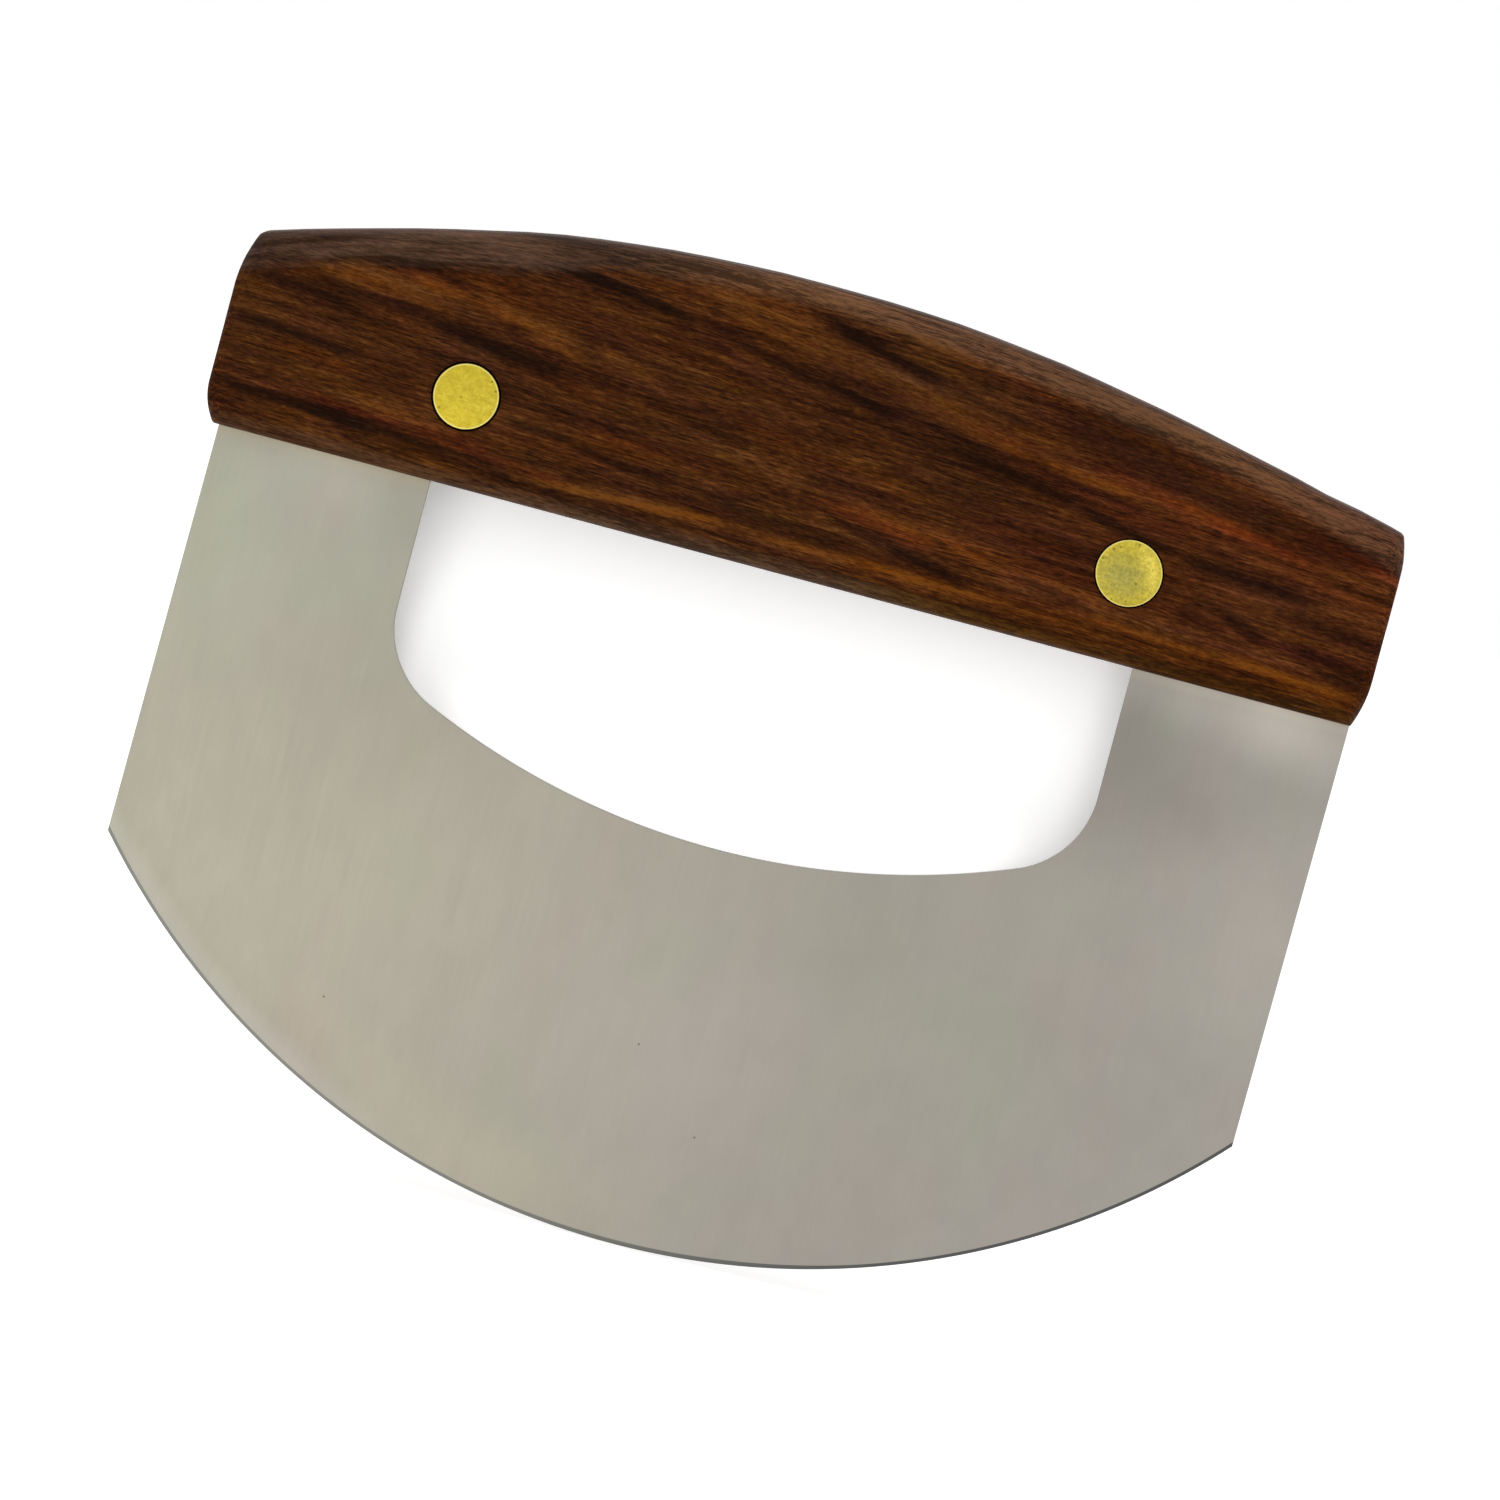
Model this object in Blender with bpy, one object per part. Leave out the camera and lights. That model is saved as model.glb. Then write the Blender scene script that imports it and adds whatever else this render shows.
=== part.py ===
"""A bowl chopper: a steel blade with a curved edge, riveted into a slot in a walnut handle.

X runs along the handle, Y through its thickness and Z up. The lowest point of the cutting
edge is at Z = 0, and the handle's middle is at X = 0 and Y = 0. Lengths are in metres.
"""

import math

import bmesh
import bpy

# Blade
BLADE_WIDTH = 0.1524
BLADE_THICKNESS = 0.0016
BLADE_DROP = 0.0902  # from the handle's lower face to the lowest point of the edge
BLADE_MIDDLE_X = 0.0004
TANG_HEIGHT = 0.019  # how far the blade stands up into the handle
CUTTING_RADIUS = 0.1016
ARC_MIDDLE_X = 0.00115  # the middle of the cutting edge and of the opening's lower side

# Grinding of the cutting edge: widths are measured inwards from the edge
GRIND_WIDTH = 0.0045
BEVEL_WIDTH = 0.001
BEVEL_THICKNESS = 0.0008  # where the grind ends and the bevel starts
EDGE_THICKNESS = 0.00016

# Finger opening
OPENING_WIDTH = 0.0943
OPENING_DEPTH = 0.037  # from the handle's lower face to the opening's lowest point
OPENING_RISE = 0.003  # hidden stretch inside the slot
OPENING_ARC_RADIUS = 0.1007
OPENING_CORNER_RADIUS = 0.0125

# Handle
HANDLE_LENGTH = 0.1556
HANDLE_HEIGHT = 0.0376
HANDLE_THICKNESS = 0.01905
CROWN_RADIUS = 0.2413
CROWN_ROUNDING = 0.0048
LOWER_ROUNDING = 0.0032
END_ROUNDING = 0.0015
CORNER_RADIUS = 0.0073
CORNER_REACH = 0.0052  # how far a rounded corner runs along the handle's end
FACE_CORNER_REACH_SHARE = 0.4  # the same on the flat side face, as a share of CORNER_REACH

# Rivets
RIVET_SPACING = 0.0887
RIVET_MIDDLE_X = -0.0006
RIVET_HEIGHT = 0.01185  # above the handle's lower face
RIVET_HEAD_RADIUS = 0.004365
RIVET_HEAD_THICKNESS = 0.0024
RIVET_HEAD_BREAK = 0.00025
TUBE_RADIUS = 0.0028
BORE_RADIUS = 0.0018
TUBE_END_CLEARANCE = 0.001  # between the tube's mouth and the other head
PIN_END_CLEARANCE = 0.0008  # between the pin's tip and the bore's floor
PIN_TIP_CHAMFER = 0.0005

# Fits and cuts
FIT_GAP = 0.0003
CUT_OVERRUN = 0.003
MERGE_DISTANCE = 0.00001

# Steps along the round stretches
CROWN_STEPS = 44
CORNER_STEPS = 6
ROUNDING_STEPS = 6
EDGE_STEPS = 64
OPENING_ARC_STEPS = 40
OPENING_CORNER_STEPS = 10
RIVET_STEPS = 48
SHARP_ANGLE = math.radians(30)

# Heights that several pieces share
HANDLE_LOW = BLADE_DROP
HANDLE_TOP = HANDLE_LOW + HANDLE_HEIGHT
TANG_TOP = HANDLE_LOW + TANG_HEIGHT
RIVET_LINE = HANDLE_LOW + RIVET_HEIGHT
FACE_Y = HANDLE_THICKNESS / 2
HEAD_SEAT_Y = FACE_Y - RIVET_HEAD_THICKNESS

STEEL_COLOUR = (0.40, 0.37, 0.32, 1)
WALNUT_COLOUR = (0.09, 0.035, 0.016, 1)
BRASS_COLOUR = (0.66, 0.52, 0.13, 1)


def clear_scene():
    for obj in list(bpy.data.objects):
        bpy.data.objects.remove(obj)


def material(name, colour, roughness, metallic):
    made = bpy.data.materials.new(name)
    made.use_nodes = True
    shader = made.node_tree.nodes["Principled BSDF"]
    shader.inputs["Base Color"].default_value = colour
    shader.inputs["Roughness"].default_value = roughness
    shader.inputs["Metallic"].default_value = metallic
    return made


def add_object(name, bm, finish=None):
    """Makes an object of the closed mesh, with its faces pointing outwards."""
    bmesh.ops.remove_doubles(bm, verts=bm.verts, dist=MERGE_DISTANCE)
    bmesh.ops.recalc_face_normals(bm, faces=bm.faces)
    mesh = bpy.data.meshes.new(name)
    bm.to_mesh(mesh)
    bm.free()
    mesh.shade_smooth()
    mesh.set_sharp_from_angle(angle=SHARP_ANGLE)
    obj = bpy.data.objects.new(name, mesh)
    bpy.context.scene.collection.objects.link(obj)
    if finish:
        mesh.materials.append(finish)
    return obj


def add_cutter(name, bm):
    cutter = add_object(name, bm)
    cutter.hide_render = True
    cutter.display_type = "WIRE"
    return cutter


def cut(obj, cutter):
    boolean = obj.modifiers.new("cut by " + cutter.name, "BOOLEAN")
    boolean.operation = "DIFFERENCE"
    boolean.solver = "EXACT"
    boolean.object = cutter


def arc(centre, radius, start, end, steps):
    """Points (x, z) along an arc, with angles counted from +X towards +Z."""
    turn = (end - start) / steps
    angles = [start + turn * step for step in range(steps + 1)]
    return [
        (centre[0] + radius * math.cos(angle), centre[1] + radius * math.sin(angle))
        for angle in angles
    ]


def join_rings(bm, rings, closed):
    """Faces between each ring of vertices and the next."""
    for first, second in zip(rings, rings[1:]):
        count = len(first)
        for index in range(count if closed else count - 1):
            following = (index + 1) % count
            bm.faces.new((first[index], first[following], second[following], second[index]))


def prism(points, half_depth):
    """The outline (x, z) drawn out to both sides of the middle plane."""
    bm = bmesh.new()
    front = [bm.verts.new((x, -half_depth, z)) for x, z in points]
    back = [bm.verts.new((x, half_depth, z)) for x, z in points]
    join_rings(bm, [front, back], closed=True)
    bm.faces.new(front)
    bm.faces.new(back)
    return bm


def turned(profile, x, z):
    """The profile, points (radius, y) from axis to axis, spun about a line along Y."""
    bm = bmesh.new()
    verts = [bm.verts.new((x + radius, y, z)) for radius, y in profile]
    edges = [bm.edges.new(pair) for pair in zip(verts, verts[1:])]
    bmesh.ops.spin(
        bm,
        geom=verts + edges,
        cent=(x, 0, z),
        axis=(0, 1, 0),
        angle=2 * math.pi,
        steps=RIVET_STEPS,
    )
    return bm


def handle_outline(half_length, low, crown_drop, corner_radius, corner_reach):
    """Points (x, z) round the handle, from the right end of its lower side anticlockwise."""
    corner_x = half_length - corner_radius
    corner_angle = math.asin(min(corner_reach / corner_radius, 1))
    crown_radius = CROWN_RADIUS - crown_drop
    crown_centre_z = HANDLE_TOP - CROWN_RADIUS
    meet_x = corner_x + corner_radius * math.cos(corner_angle)
    meet_angle = math.acos(meet_x / crown_radius)
    upper_corner_z = crown_centre_z + crown_radius * math.sin(meet_angle) - corner_reach
    lower_corner_z = low + corner_reach

    lower = arc((corner_x, lower_corner_z), corner_radius, -corner_angle, 0, CORNER_STEPS)
    upper = arc((corner_x, upper_corner_z), corner_radius, 0, corner_angle, CORNER_STEPS)
    crown = arc(
        (0, crown_centre_z), crown_radius, meet_angle, math.pi - meet_angle, CROWN_STEPS
    )
    right = lower + upper
    left = [(-x, z) for x, z in reversed(right)]
    return right + crown[1:-1] + left


def rounding_depths():
    """How far the rounded edge runs in from the side face, at each point of the outline."""
    shares = [step / CORNER_STEPS for step in range(CORNER_STEPS + 1)]
    lower = [LOWER_ROUNDING + (END_ROUNDING - LOWER_ROUNDING) * share for share in shares]
    upper = [END_ROUNDING + (CROWN_ROUNDING - END_ROUNDING) * share for share in shares]
    right = lower + upper
    return right + [CROWN_ROUNDING] * (CROWN_STEPS - 1) + right[::-1]


def rivet_places():
    return {
        "left": RIVET_MIDDLE_X - RIVET_SPACING / 2,
        "right": RIVET_MIDDLE_X + RIVET_SPACING / 2,
    }


def rivet_hole_cutters():
    """One for each rivet: a hole for the tube, with a wider seat for the head on each side."""
    hole = TUBE_RADIUS + FIT_GAP
    seat = RIVET_HEAD_RADIUS + FIT_GAP
    seat_y = HEAD_SEAT_Y - FIT_GAP
    end_y = FACE_Y + CUT_OVERRUN
    front = [(0, -end_y), (seat, -end_y), (seat, -seat_y), (hole, -seat_y)]
    back = [(radius, -y) for radius, y in reversed(front)]
    return [
        add_cutter(side + "_rivet_hole_cutter", turned(front + back, x, RIVET_LINE))
        for side, x in rivet_places().items()
    ]


def slot_cutter():
    half_length = HANDLE_LENGTH / 2 + CUT_OVERRUN
    low = HANDLE_LOW - CUT_OVERRUN
    top = TANG_TOP + FIT_GAP
    points = [(-half_length, low), (half_length, low), (half_length, top), (-half_length, top)]
    return add_cutter("slot_cutter", prism(points, BLADE_THICKNESS / 2 + FIT_GAP))


def make_handle(hole_cutters, finish):
    """The outline of the flat side face grows to the full outline along a rounded edge."""
    outer = handle_outline(HANDLE_LENGTH / 2, HANDLE_LOW, 0, CORNER_RADIUS, CORNER_REACH)
    face = handle_outline(
        HANDLE_LENGTH / 2 - END_ROUNDING,
        HANDLE_LOW + LOWER_ROUNDING,
        CROWN_ROUNDING,
        CORNER_RADIUS - END_ROUNDING,
        CORNER_REACH * FACE_CORNER_REACH_SHARE,
    )
    points = list(zip(outer, face, rounding_depths()))

    bm = bmesh.new()
    front_rings = []
    back_rings = []
    for step in range(ROUNDING_STEPS + 1):
        angle = math.pi / 2 * step / ROUNDING_STEPS
        ring = []
        for (outer_x, outer_z), (face_x, face_z), depth in points:
            x = face_x + (outer_x - face_x) * math.sin(angle)
            z = face_z + (outer_z - face_z) * math.sin(angle)
            ring.append((x, FACE_Y - depth * (1 - math.cos(angle)), z))
        front_rings.append([bm.verts.new((x, -y, z)) for x, y, z in ring])
        back_rings.insert(0, [bm.verts.new(place) for place in ring])
    join_rings(bm, front_rings + back_rings, closed=True)
    bm.faces.new(front_rings[0])
    bm.faces.new(back_rings[-1])

    handle = add_object("handle", bm, finish)
    cut(handle, slot_cutter())
    for cutter in hole_cutters:
        cut(handle, cutter)
    return handle


def edge_arc(width_in, thickness):
    """The line of the cutting edge, or one inside it: (x, z) points and half its thickness."""
    radius = CUTTING_RADIUS - width_in
    centre = (ARC_MIDDLE_X, CUTTING_RADIUS)
    bottom = -math.pi / 2
    left_x = BLADE_MIDDLE_X - BLADE_WIDTH / 2
    right_x = BLADE_MIDDLE_X + BLADE_WIDTH / 2
    left_angle = bottom - math.asin((centre[0] - left_x) / radius)
    right_angle = bottom + math.asin((right_x - centre[0]) / radius)
    half_steps = EDGE_STEPS // 2
    left = arc(centre, radius, left_angle, bottom, half_steps)
    right = arc(centre, radius, bottom, right_angle, half_steps)
    return left + right[1:], thickness / 2


def opening_cutter():
    """The D-shaped finger opening: straight sides, rounded corners and a curved lower side."""
    left_x = BLADE_MIDDLE_X - OPENING_WIDTH / 2
    right_x = BLADE_MIDDLE_X + OPENING_WIDTH / 2
    top = HANDLE_LOW + OPENING_RISE
    arc_centre = (ARC_MIDDLE_X, HANDLE_LOW - OPENING_DEPTH + OPENING_ARC_RADIUS)
    corner_distance = OPENING_ARC_RADIUS - OPENING_CORNER_RADIUS

    def corner(side_x, inwards):
        """The corner's centre, and the angle on the lower arc where the corner meets it."""
        x = side_x + inwards * OPENING_CORNER_RADIUS
        across = x - arc_centre[0]
        drop = math.sqrt(corner_distance**2 - across**2)
        return (x, arc_centre[1] - drop), math.atan2(-drop, across)

    left_centre, left_angle = corner(left_x, 1)
    right_centre, right_angle = corner(right_x, -1)
    steps = OPENING_CORNER_STEPS
    left = arc(left_centre, OPENING_CORNER_RADIUS, -math.pi, left_angle, steps)
    lower = arc(arc_centre, OPENING_ARC_RADIUS, left_angle, right_angle, OPENING_ARC_STEPS)
    right = arc(right_centre, OPENING_CORNER_RADIUS, right_angle, 0, steps)
    points = [(left_x, top)] + left + lower[1:-1] + right + [(right_x, top)]
    return add_cutter("opening_cutter", prism(points, BLADE_THICKNESS / 2 + CUT_OVERRUN))


def make_blade(hole_cutters, finish):
    """A sheet whose lower rim thins down to the edge in two steps, grind and bevel."""
    lines = [
        edge_arc(GRIND_WIDTH, BLADE_THICKNESS),
        edge_arc(BEVEL_WIDTH, BEVEL_THICKNESS),
        edge_arc(0, EDGE_THICKNESS),
    ]
    half = BLADE_THICKNESS / 2
    left_x = BLADE_MIDDLE_X - BLADE_WIDTH / 2
    right_x = BLADE_MIDDLE_X + BLADE_WIDTH / 2

    bm = bmesh.new()
    front = [[bm.verts.new((x, -y, z)) for x, z in points] for points, y in lines]
    back = [[bm.verts.new((x, y, z)) for x, z in points] for points, y in reversed(lines)]
    rings = front + back
    join_rings(bm, rings, closed=False)
    front_left, front_right = (bm.verts.new((x, -half, TANG_TOP)) for x in (left_x, right_x))
    back_left, back_right = (bm.verts.new((x, half, TANG_TOP)) for x in (left_x, right_x))
    bm.faces.new([front_left] + rings[0] + [front_right])
    bm.faces.new([back_left] + rings[-1] + [back_right])
    bm.faces.new([front_left] + [ring[0] for ring in rings] + [back_left])
    bm.faces.new([front_right] + [ring[-1] for ring in rings] + [back_right])
    bm.faces.new((front_left, front_right, back_right, back_left))

    blade = add_object("blade", bm, finish)
    cut(blade, opening_cutter())
    for cutter in hole_cutters:
        cut(blade, cutter)
    return blade


def rivet_head_profile():
    """From the middle of the outer face, out over the broken edge and in along the back."""
    return [
        (0, -FACE_Y),
        (RIVET_HEAD_RADIUS - RIVET_HEAD_BREAK, -FACE_Y),
        (RIVET_HEAD_RADIUS, -FACE_Y + RIVET_HEAD_BREAK),
        (RIVET_HEAD_RADIUS, -HEAD_SEAT_Y),
    ]


def make_male_rivet(side, x, finish):
    """Its head is on the front, and its pin runs back inside the female half's tube."""
    pin = BORE_RADIUS - FIT_GAP
    tip_y = HEAD_SEAT_Y - PIN_END_CLEARANCE
    profile = rivet_head_profile() + [
        (pin, -HEAD_SEAT_Y),
        (pin, tip_y - PIN_TIP_CHAMFER),
        (pin - PIN_TIP_CHAMFER, tip_y),
        (0, tip_y),
    ]
    return add_object(side + "_rivet_male", turned(profile, x, RIVET_LINE), finish)


def make_female_rivet(side, x, finish):
    """Its head is on the back, and its tube runs forward through the handle and the tang."""
    mouth_y = HEAD_SEAT_Y - TUBE_END_CLEARANCE
    profile = rivet_head_profile() + [
        (TUBE_RADIUS, -HEAD_SEAT_Y),
        (TUBE_RADIUS, mouth_y),
        (BORE_RADIUS, mouth_y),
        (BORE_RADIUS, -HEAD_SEAT_Y),
        (0, -HEAD_SEAT_Y),
    ]
    facing_back = [(radius, -y) for radius, y in profile]
    return add_object(side + "_rivet_female", turned(facing_back, x, RIVET_LINE), finish)


def main():
    clear_scene()
    steel = material("brushed steel", STEEL_COLOUR, 0.38, 1)
    walnut = material("walnut", WALNUT_COLOUR, 0.5, 0)
    brass = material("brass", BRASS_COLOUR, 0.3, 1)
    hole_cutters = rivet_hole_cutters()
    make_handle(hole_cutters, walnut)
    make_blade(hole_cutters, steel)
    for side, x in rivet_places().items():
        make_male_rivet(side, x, brass)
        make_female_rivet(side, x, brass)


main()
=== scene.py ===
import math
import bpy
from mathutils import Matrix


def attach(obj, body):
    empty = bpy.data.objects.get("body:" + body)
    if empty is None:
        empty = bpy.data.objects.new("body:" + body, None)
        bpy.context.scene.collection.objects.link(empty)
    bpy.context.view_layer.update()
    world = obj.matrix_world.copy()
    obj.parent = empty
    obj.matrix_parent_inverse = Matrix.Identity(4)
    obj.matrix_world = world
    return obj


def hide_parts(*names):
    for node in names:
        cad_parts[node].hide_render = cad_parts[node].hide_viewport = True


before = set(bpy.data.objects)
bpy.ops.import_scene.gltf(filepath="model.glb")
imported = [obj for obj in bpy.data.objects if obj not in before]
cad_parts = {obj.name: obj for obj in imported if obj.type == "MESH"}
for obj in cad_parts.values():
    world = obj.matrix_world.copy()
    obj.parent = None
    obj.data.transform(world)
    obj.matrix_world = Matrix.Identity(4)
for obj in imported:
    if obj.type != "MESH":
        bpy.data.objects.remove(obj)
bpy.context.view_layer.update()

from types import SimpleNamespace

import bmesh
import bpy
from mathutils import Matrix, Vector

# A bowl chopper: a steel blade riveted into the slot of a walnut handle.
# X runs along the handle, Y through its thickness, Z up from the cutting edge. Metres.

MM = 0.001

# Handle: its nominal outline, and where its two ends really are
HANDLE_LOW = 90.2 * MM
HANDLE_TOP = 127.8 * MM
HALF_LENGTH = 77.8 * MM
END_X = {"left": -77.65 * MM, "right": 77.8 * MM}
FACE_Y = 9.525 * MM
CROWN_RADIUS = 241.3 * MM
CROWN_ROUNDING = 4.8 * MM
LOWER_ROUNDING = 3.2 * MM
END_ROUNDING = 1.4 * MM
CROWN_STEPS = 38
ROUNDING_STEPS = 10
CORNER_STEPS = 7
TIP_STEPS = 3
RIM_STEPS = 4

# Each end corner: how far it reaches along the end, and how far it takes the end in
END_CORNERS = {
    ("left", "upper"): (7.2 * MM, 1.54 * MM),
    ("left", "lower"): (5.5 * MM, 1.8 * MM),
    ("right", "upper"): (4.65 * MM, 0.84 * MM),
    ("right", "lower"): (6.5 * MM, 1.22 * MM),
}

# The small rounding where each corner runs out into the crown or the lower face
TIP_ROUNDING = {
    ("left", "upper"): 1.4 * MM,
    ("left", "lower"): 0.8 * MM,
    ("right", "upper"): 0.25 * MM,
    ("right", "lower"): 0.25 * MM,
}

# Sanding by hand left the crown a little high on the left and low on the right: how high, in
# mm, at places along the handle in mm
CROWN_SANDING = [
    (-78.2, 0.22), (-63.0, 0.06), (-51.0, 0.18), (-38.7, 0.48), (-26.2, 0.38), (-13.5, 0.2),
    (0.0, -0.03), (12.5, -0.1), (25.7, -0.35), (39.2, -0.66), (52.9, -0.78), (66.7, -0.4),
    (73.9, 0.46), (78.2, 0.65),
]

# Blade: its sides are given where they meet the handle, and lean to the right
BLADE_LEFT = -75.25 * MM
BLADE_RIGHT = 76.7 * MM
BLADE_LEAN = math.radians(0.5)
BLADE_HALF = 0.8 * MM
TANG_TOP = 109.2 * MM
EDGE_RADIUS = 101.6 * MM
ARC_X = 1.15 * MM
BEVEL_WIDTH = 0.45 * MM
GRIND_WIDTH = 12.0 * MM
EDGE_HALF = 0.08 * MM
BEVEL_HALF = 0.3 * MM
ARC_SIDES = 640
RIM_BREAK = 0.13 * MM

# Finger opening
OPENING_LEFT = -46.75 * MM
OPENING_RIGHT = 47.55 * MM
OPENING_LOW = 53.2 * MM
OPENING_TOP = 93.2 * MM
OPENING_RADIUS = 100.7 * MM
OPENING_CORNER = 12.5 * MM
OPENING_CORNER_STEPS = 14

# Rivets
RIVET_X = {"left": -44.95 * MM, "right": 43.75 * MM}
RIVET_Z = 102.05 * MM
HEAD_RADIUS = 4.365 * MM
HEAD_SEAT_Y = 7.125 * MM
HEAD_BREAK = 0.14 * MM
TUBE_RADIUS = 2.8 * MM
BORE_RADIUS = 1.8 * MM
PIN_RADIUS = 1.5 * MM
PIN_TIP_Y = 6.325 * MM
TUBE_MOUTH_Y = 6.125 * MM
RIVET_SIDES = 96

# Clearances round the tang, the rivets' tubes and their heads, and how far a cutter overruns
BLADE_FIT = 0.05 * MM
BORE_GAP = 0.3 * MM
HEAD_GAP = 0.17 * MM
OVERRUN = 4.0 * MM

# Edges sharper than this stay sharp when a piece is shaded smooth
SHARP_ANGLE = math.radians(32)
BLADE_SHARP_ANGLE = math.radians(9)

# How near points lie to count as one, as on a cut, as on a face and as in a disc's middle
MERGE_DISTANCE = 2e-6
CUT_DISTANCE = 1e-6
ON_FACE = 0.01 * MM
IN_MIDDLE = 0.1 * MM


# Modelling

def only(obj):
    """Makes this the one selected object."""
    bpy.ops.object.select_all(action="DESELECT")
    obj.select_set(True)
    bpy.context.view_layer.objects.active = obj


def begin(name):
    """Names the primitive that was just added, and puts its place in its mesh."""
    obj = bpy.context.object
    obj.name = name
    obj.data.name = name
    bpy.ops.object.transform_apply(location=True, rotation=True, scale=True)
    return obj


def block(name, low, high):
    """A box between two of its corners."""
    bpy.ops.object.select_all(action="DESELECT")
    middle = (Vector(low) + Vector(high)) / 2
    bpy.ops.mesh.primitive_cube_add(size=1, location=middle)
    bpy.context.object.scale = Vector(high) - Vector(low)
    return begin(name)


def disc(name, x, z, radius, front, back, sides):
    """A cylinder that lies along Y."""
    bpy.ops.object.select_all(action="DESELECT")
    bpy.ops.mesh.primitive_cylinder_add(
        vertices=sides,
        radius=radius,
        depth=back - front,
        location=(x, (front + back) / 2, z),
        rotation=(math.pi / 2, 0, 0),
    )
    return begin(name)


def edit(obj):
    only(obj)
    bpy.ops.object.mode_set(mode="EDIT")


def leave():
    bpy.ops.object.mode_set(mode="OBJECT")


def pick_faces(obj, wanted):
    """Selects the faces whose middle and normal are wanted, and nothing else."""
    bpy.ops.mesh.select_mode(type="FACE")
    bpy.ops.mesh.select_all(action="DESELECT")
    mesh = bmesh.from_edit_mesh(obj.data)
    for face in mesh.faces:
        face.select_set(wanted(face.calc_center_median(), face.normal))
    bmesh.update_edit_mesh(obj.data)


def pick_edges(obj, wanted):
    """Selects the edges that are wanted, from their two ends and the faces beside them."""
    bpy.ops.mesh.select_mode(type="EDGE")
    bpy.ops.mesh.select_all(action="DESELECT")
    mesh = bmesh.from_edit_mesh(obj.data)
    chosen = [
        edge
        for edge in mesh.edges
        if wanted(edge.verts[0].co, edge.verts[1].co, [face.normal for face in edge.link_faces])
    ]
    for edge in chosen:
        edge.select_set(True)
    bmesh.update_edit_mesh(obj.data)


def slice_off(point, direction):
    """Cuts away what lies beyond the plane, and closes the cut."""
    bpy.ops.mesh.select_all(action="SELECT")
    bpy.ops.mesh.bisect(
        plane_co=point,
        plane_no=direction,
        use_fill=True,
        clear_outer=True,
        threshold=CUT_DISTANCE,
    )


def merge_doubles():
    bpy.ops.mesh.select_all(action="SELECT")
    bpy.ops.mesh.remove_doubles(threshold=MERGE_DISTANCE)


def use_modifier(obj, name):
    only(obj)
    bpy.ops.object.modifier_apply(modifier=name)


def cut_away(obj, tool):
    """Takes the tool's volume out of the piece, and throws the tool away."""
    boolean = obj.modifiers.new("cut", "BOOLEAN")
    boolean.operation = "DIFFERENCE"
    boolean.solver = "EXACT"
    boolean.object = tool
    use_modifier(obj, boolean.name)
    bpy.data.objects.remove(tool)


def close_up(obj, sharp_angle=SHARP_ANGLE):
    """Merges doubles, turns the faces outwards and shades the round stretches smooth."""
    edit(obj)
    merge_doubles()
    bpy.ops.mesh.normals_make_consistent(inside=False)
    leave()
    only(obj)
    bpy.ops.object.shade_smooth_by_angle(angle=sharp_angle)


def bore(obj, x, radius, front, back):
    """Drills through the piece along Y, at a rivet's height."""
    cut_away(obj, disc("bore", x, RIVET_Z, radius, front, back, RIVET_SIDES))


# Handle

def crown_height(x):
    """Where the nominal crown is at this place along the handle."""
    return HANDLE_TOP - CROWN_RADIUS + math.sqrt(CROWN_RADIUS**2 - x**2)


def sanding(x):
    """The hand-sanded departure from the crown, eased between its measured places."""
    x_mm = x / MM
    for (x0, rise0), (x1, rise1) in zip(CROWN_SANDING, CROWN_SANDING[1:]):
        if x_mm <= x1:
            share = min(max((x_mm - x0) / (x1 - x0), 0), 1)
            share = share * share * (3 - 2 * share)
            return (rise0 + (rise1 - rise0) * share) * MM
    return CROWN_SANDING[-1][1] * MM


def end_touches(side):
    """Where planes touch the handle's end in profile: x, z, angle up from level, rounding."""
    outwards = -1 if side == "left" else 1
    end_x = END_X[side]
    touches = [(end_x, (HANDLE_LOW + HANDLE_TOP) / 2, 0, END_ROUNDING)]
    for level, upwards, edge_rounding in (
        ("upper", 1, CROWN_ROUNDING),
        ("lower", -1, LOWER_ROUNDING),
    ):
        reach, depth = END_CORNERS[(side, level)]
        radius = (reach**2 + depth**2) / (2 * depth)
        corner_z = crown_height(HALF_LENGTH - depth) if level == "upper" else HANDLE_LOW
        start_z = corner_z - upwards * reach
        for step in range(CORNER_STEPS):
            share = (step + 0.5) / CORNER_STEPS
            angle = math.asin(reach / radius) * share
            x = end_x - outwards * radius * (1 - math.cos(angle))
            z = start_z + upwards * radius * math.sin(angle)
            rounding = END_ROUNDING + (edge_rounding - END_ROUNDING) * share**2
            touches.append((x, z, upwards * angle, rounding))

        tip = TIP_ROUNDING[(side, level)]
        first = math.asin(reach / radius)
        last = math.acos(HALF_LENGTH / CROWN_RADIUS) if level == "upper" else math.pi / 2
        towards = (first + last) / 2
        inwards = tip / math.cos((last - first) / 2)
        middle_x = end_x - outwards * (depth + inwards * math.cos(towards))
        middle_z = corner_z - upwards * inwards * math.sin(towards)
        for step in range(TIP_STEPS):
            angle = first + (last - first) * (step + 0.5) / TIP_STEPS
            x = middle_x + outwards * tip * math.cos(angle)
            z = middle_z + upwards * tip * math.sin(angle)
            touches.append((x, z, upwards * angle, edge_rounding))
    return touches


def round_end(side):
    """Shapes the end with planes that touch its corners' arcs and its rounded rim."""
    outwards = -1 if side == "left" else 1
    for x, z, angle, rounding in end_touches(side):
        normal = Vector((outwards * math.cos(angle), 0, math.sin(angle)))
        touch = Vector((x, 0, z))
        slice_off(touch, normal)
        for facing in (-1, 1):
            middle = touch - normal * rounding + Vector((0, facing * (FACE_Y - rounding), 0))
            for step in range(RIM_STEPS):
                turn = math.pi / 2 * (step + 0.5) / RIM_STEPS
                tilted = normal * math.cos(turn) + Vector((0, facing * math.sin(turn), 0))
                slice_off(middle + tilted * rounding, tilted)


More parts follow.
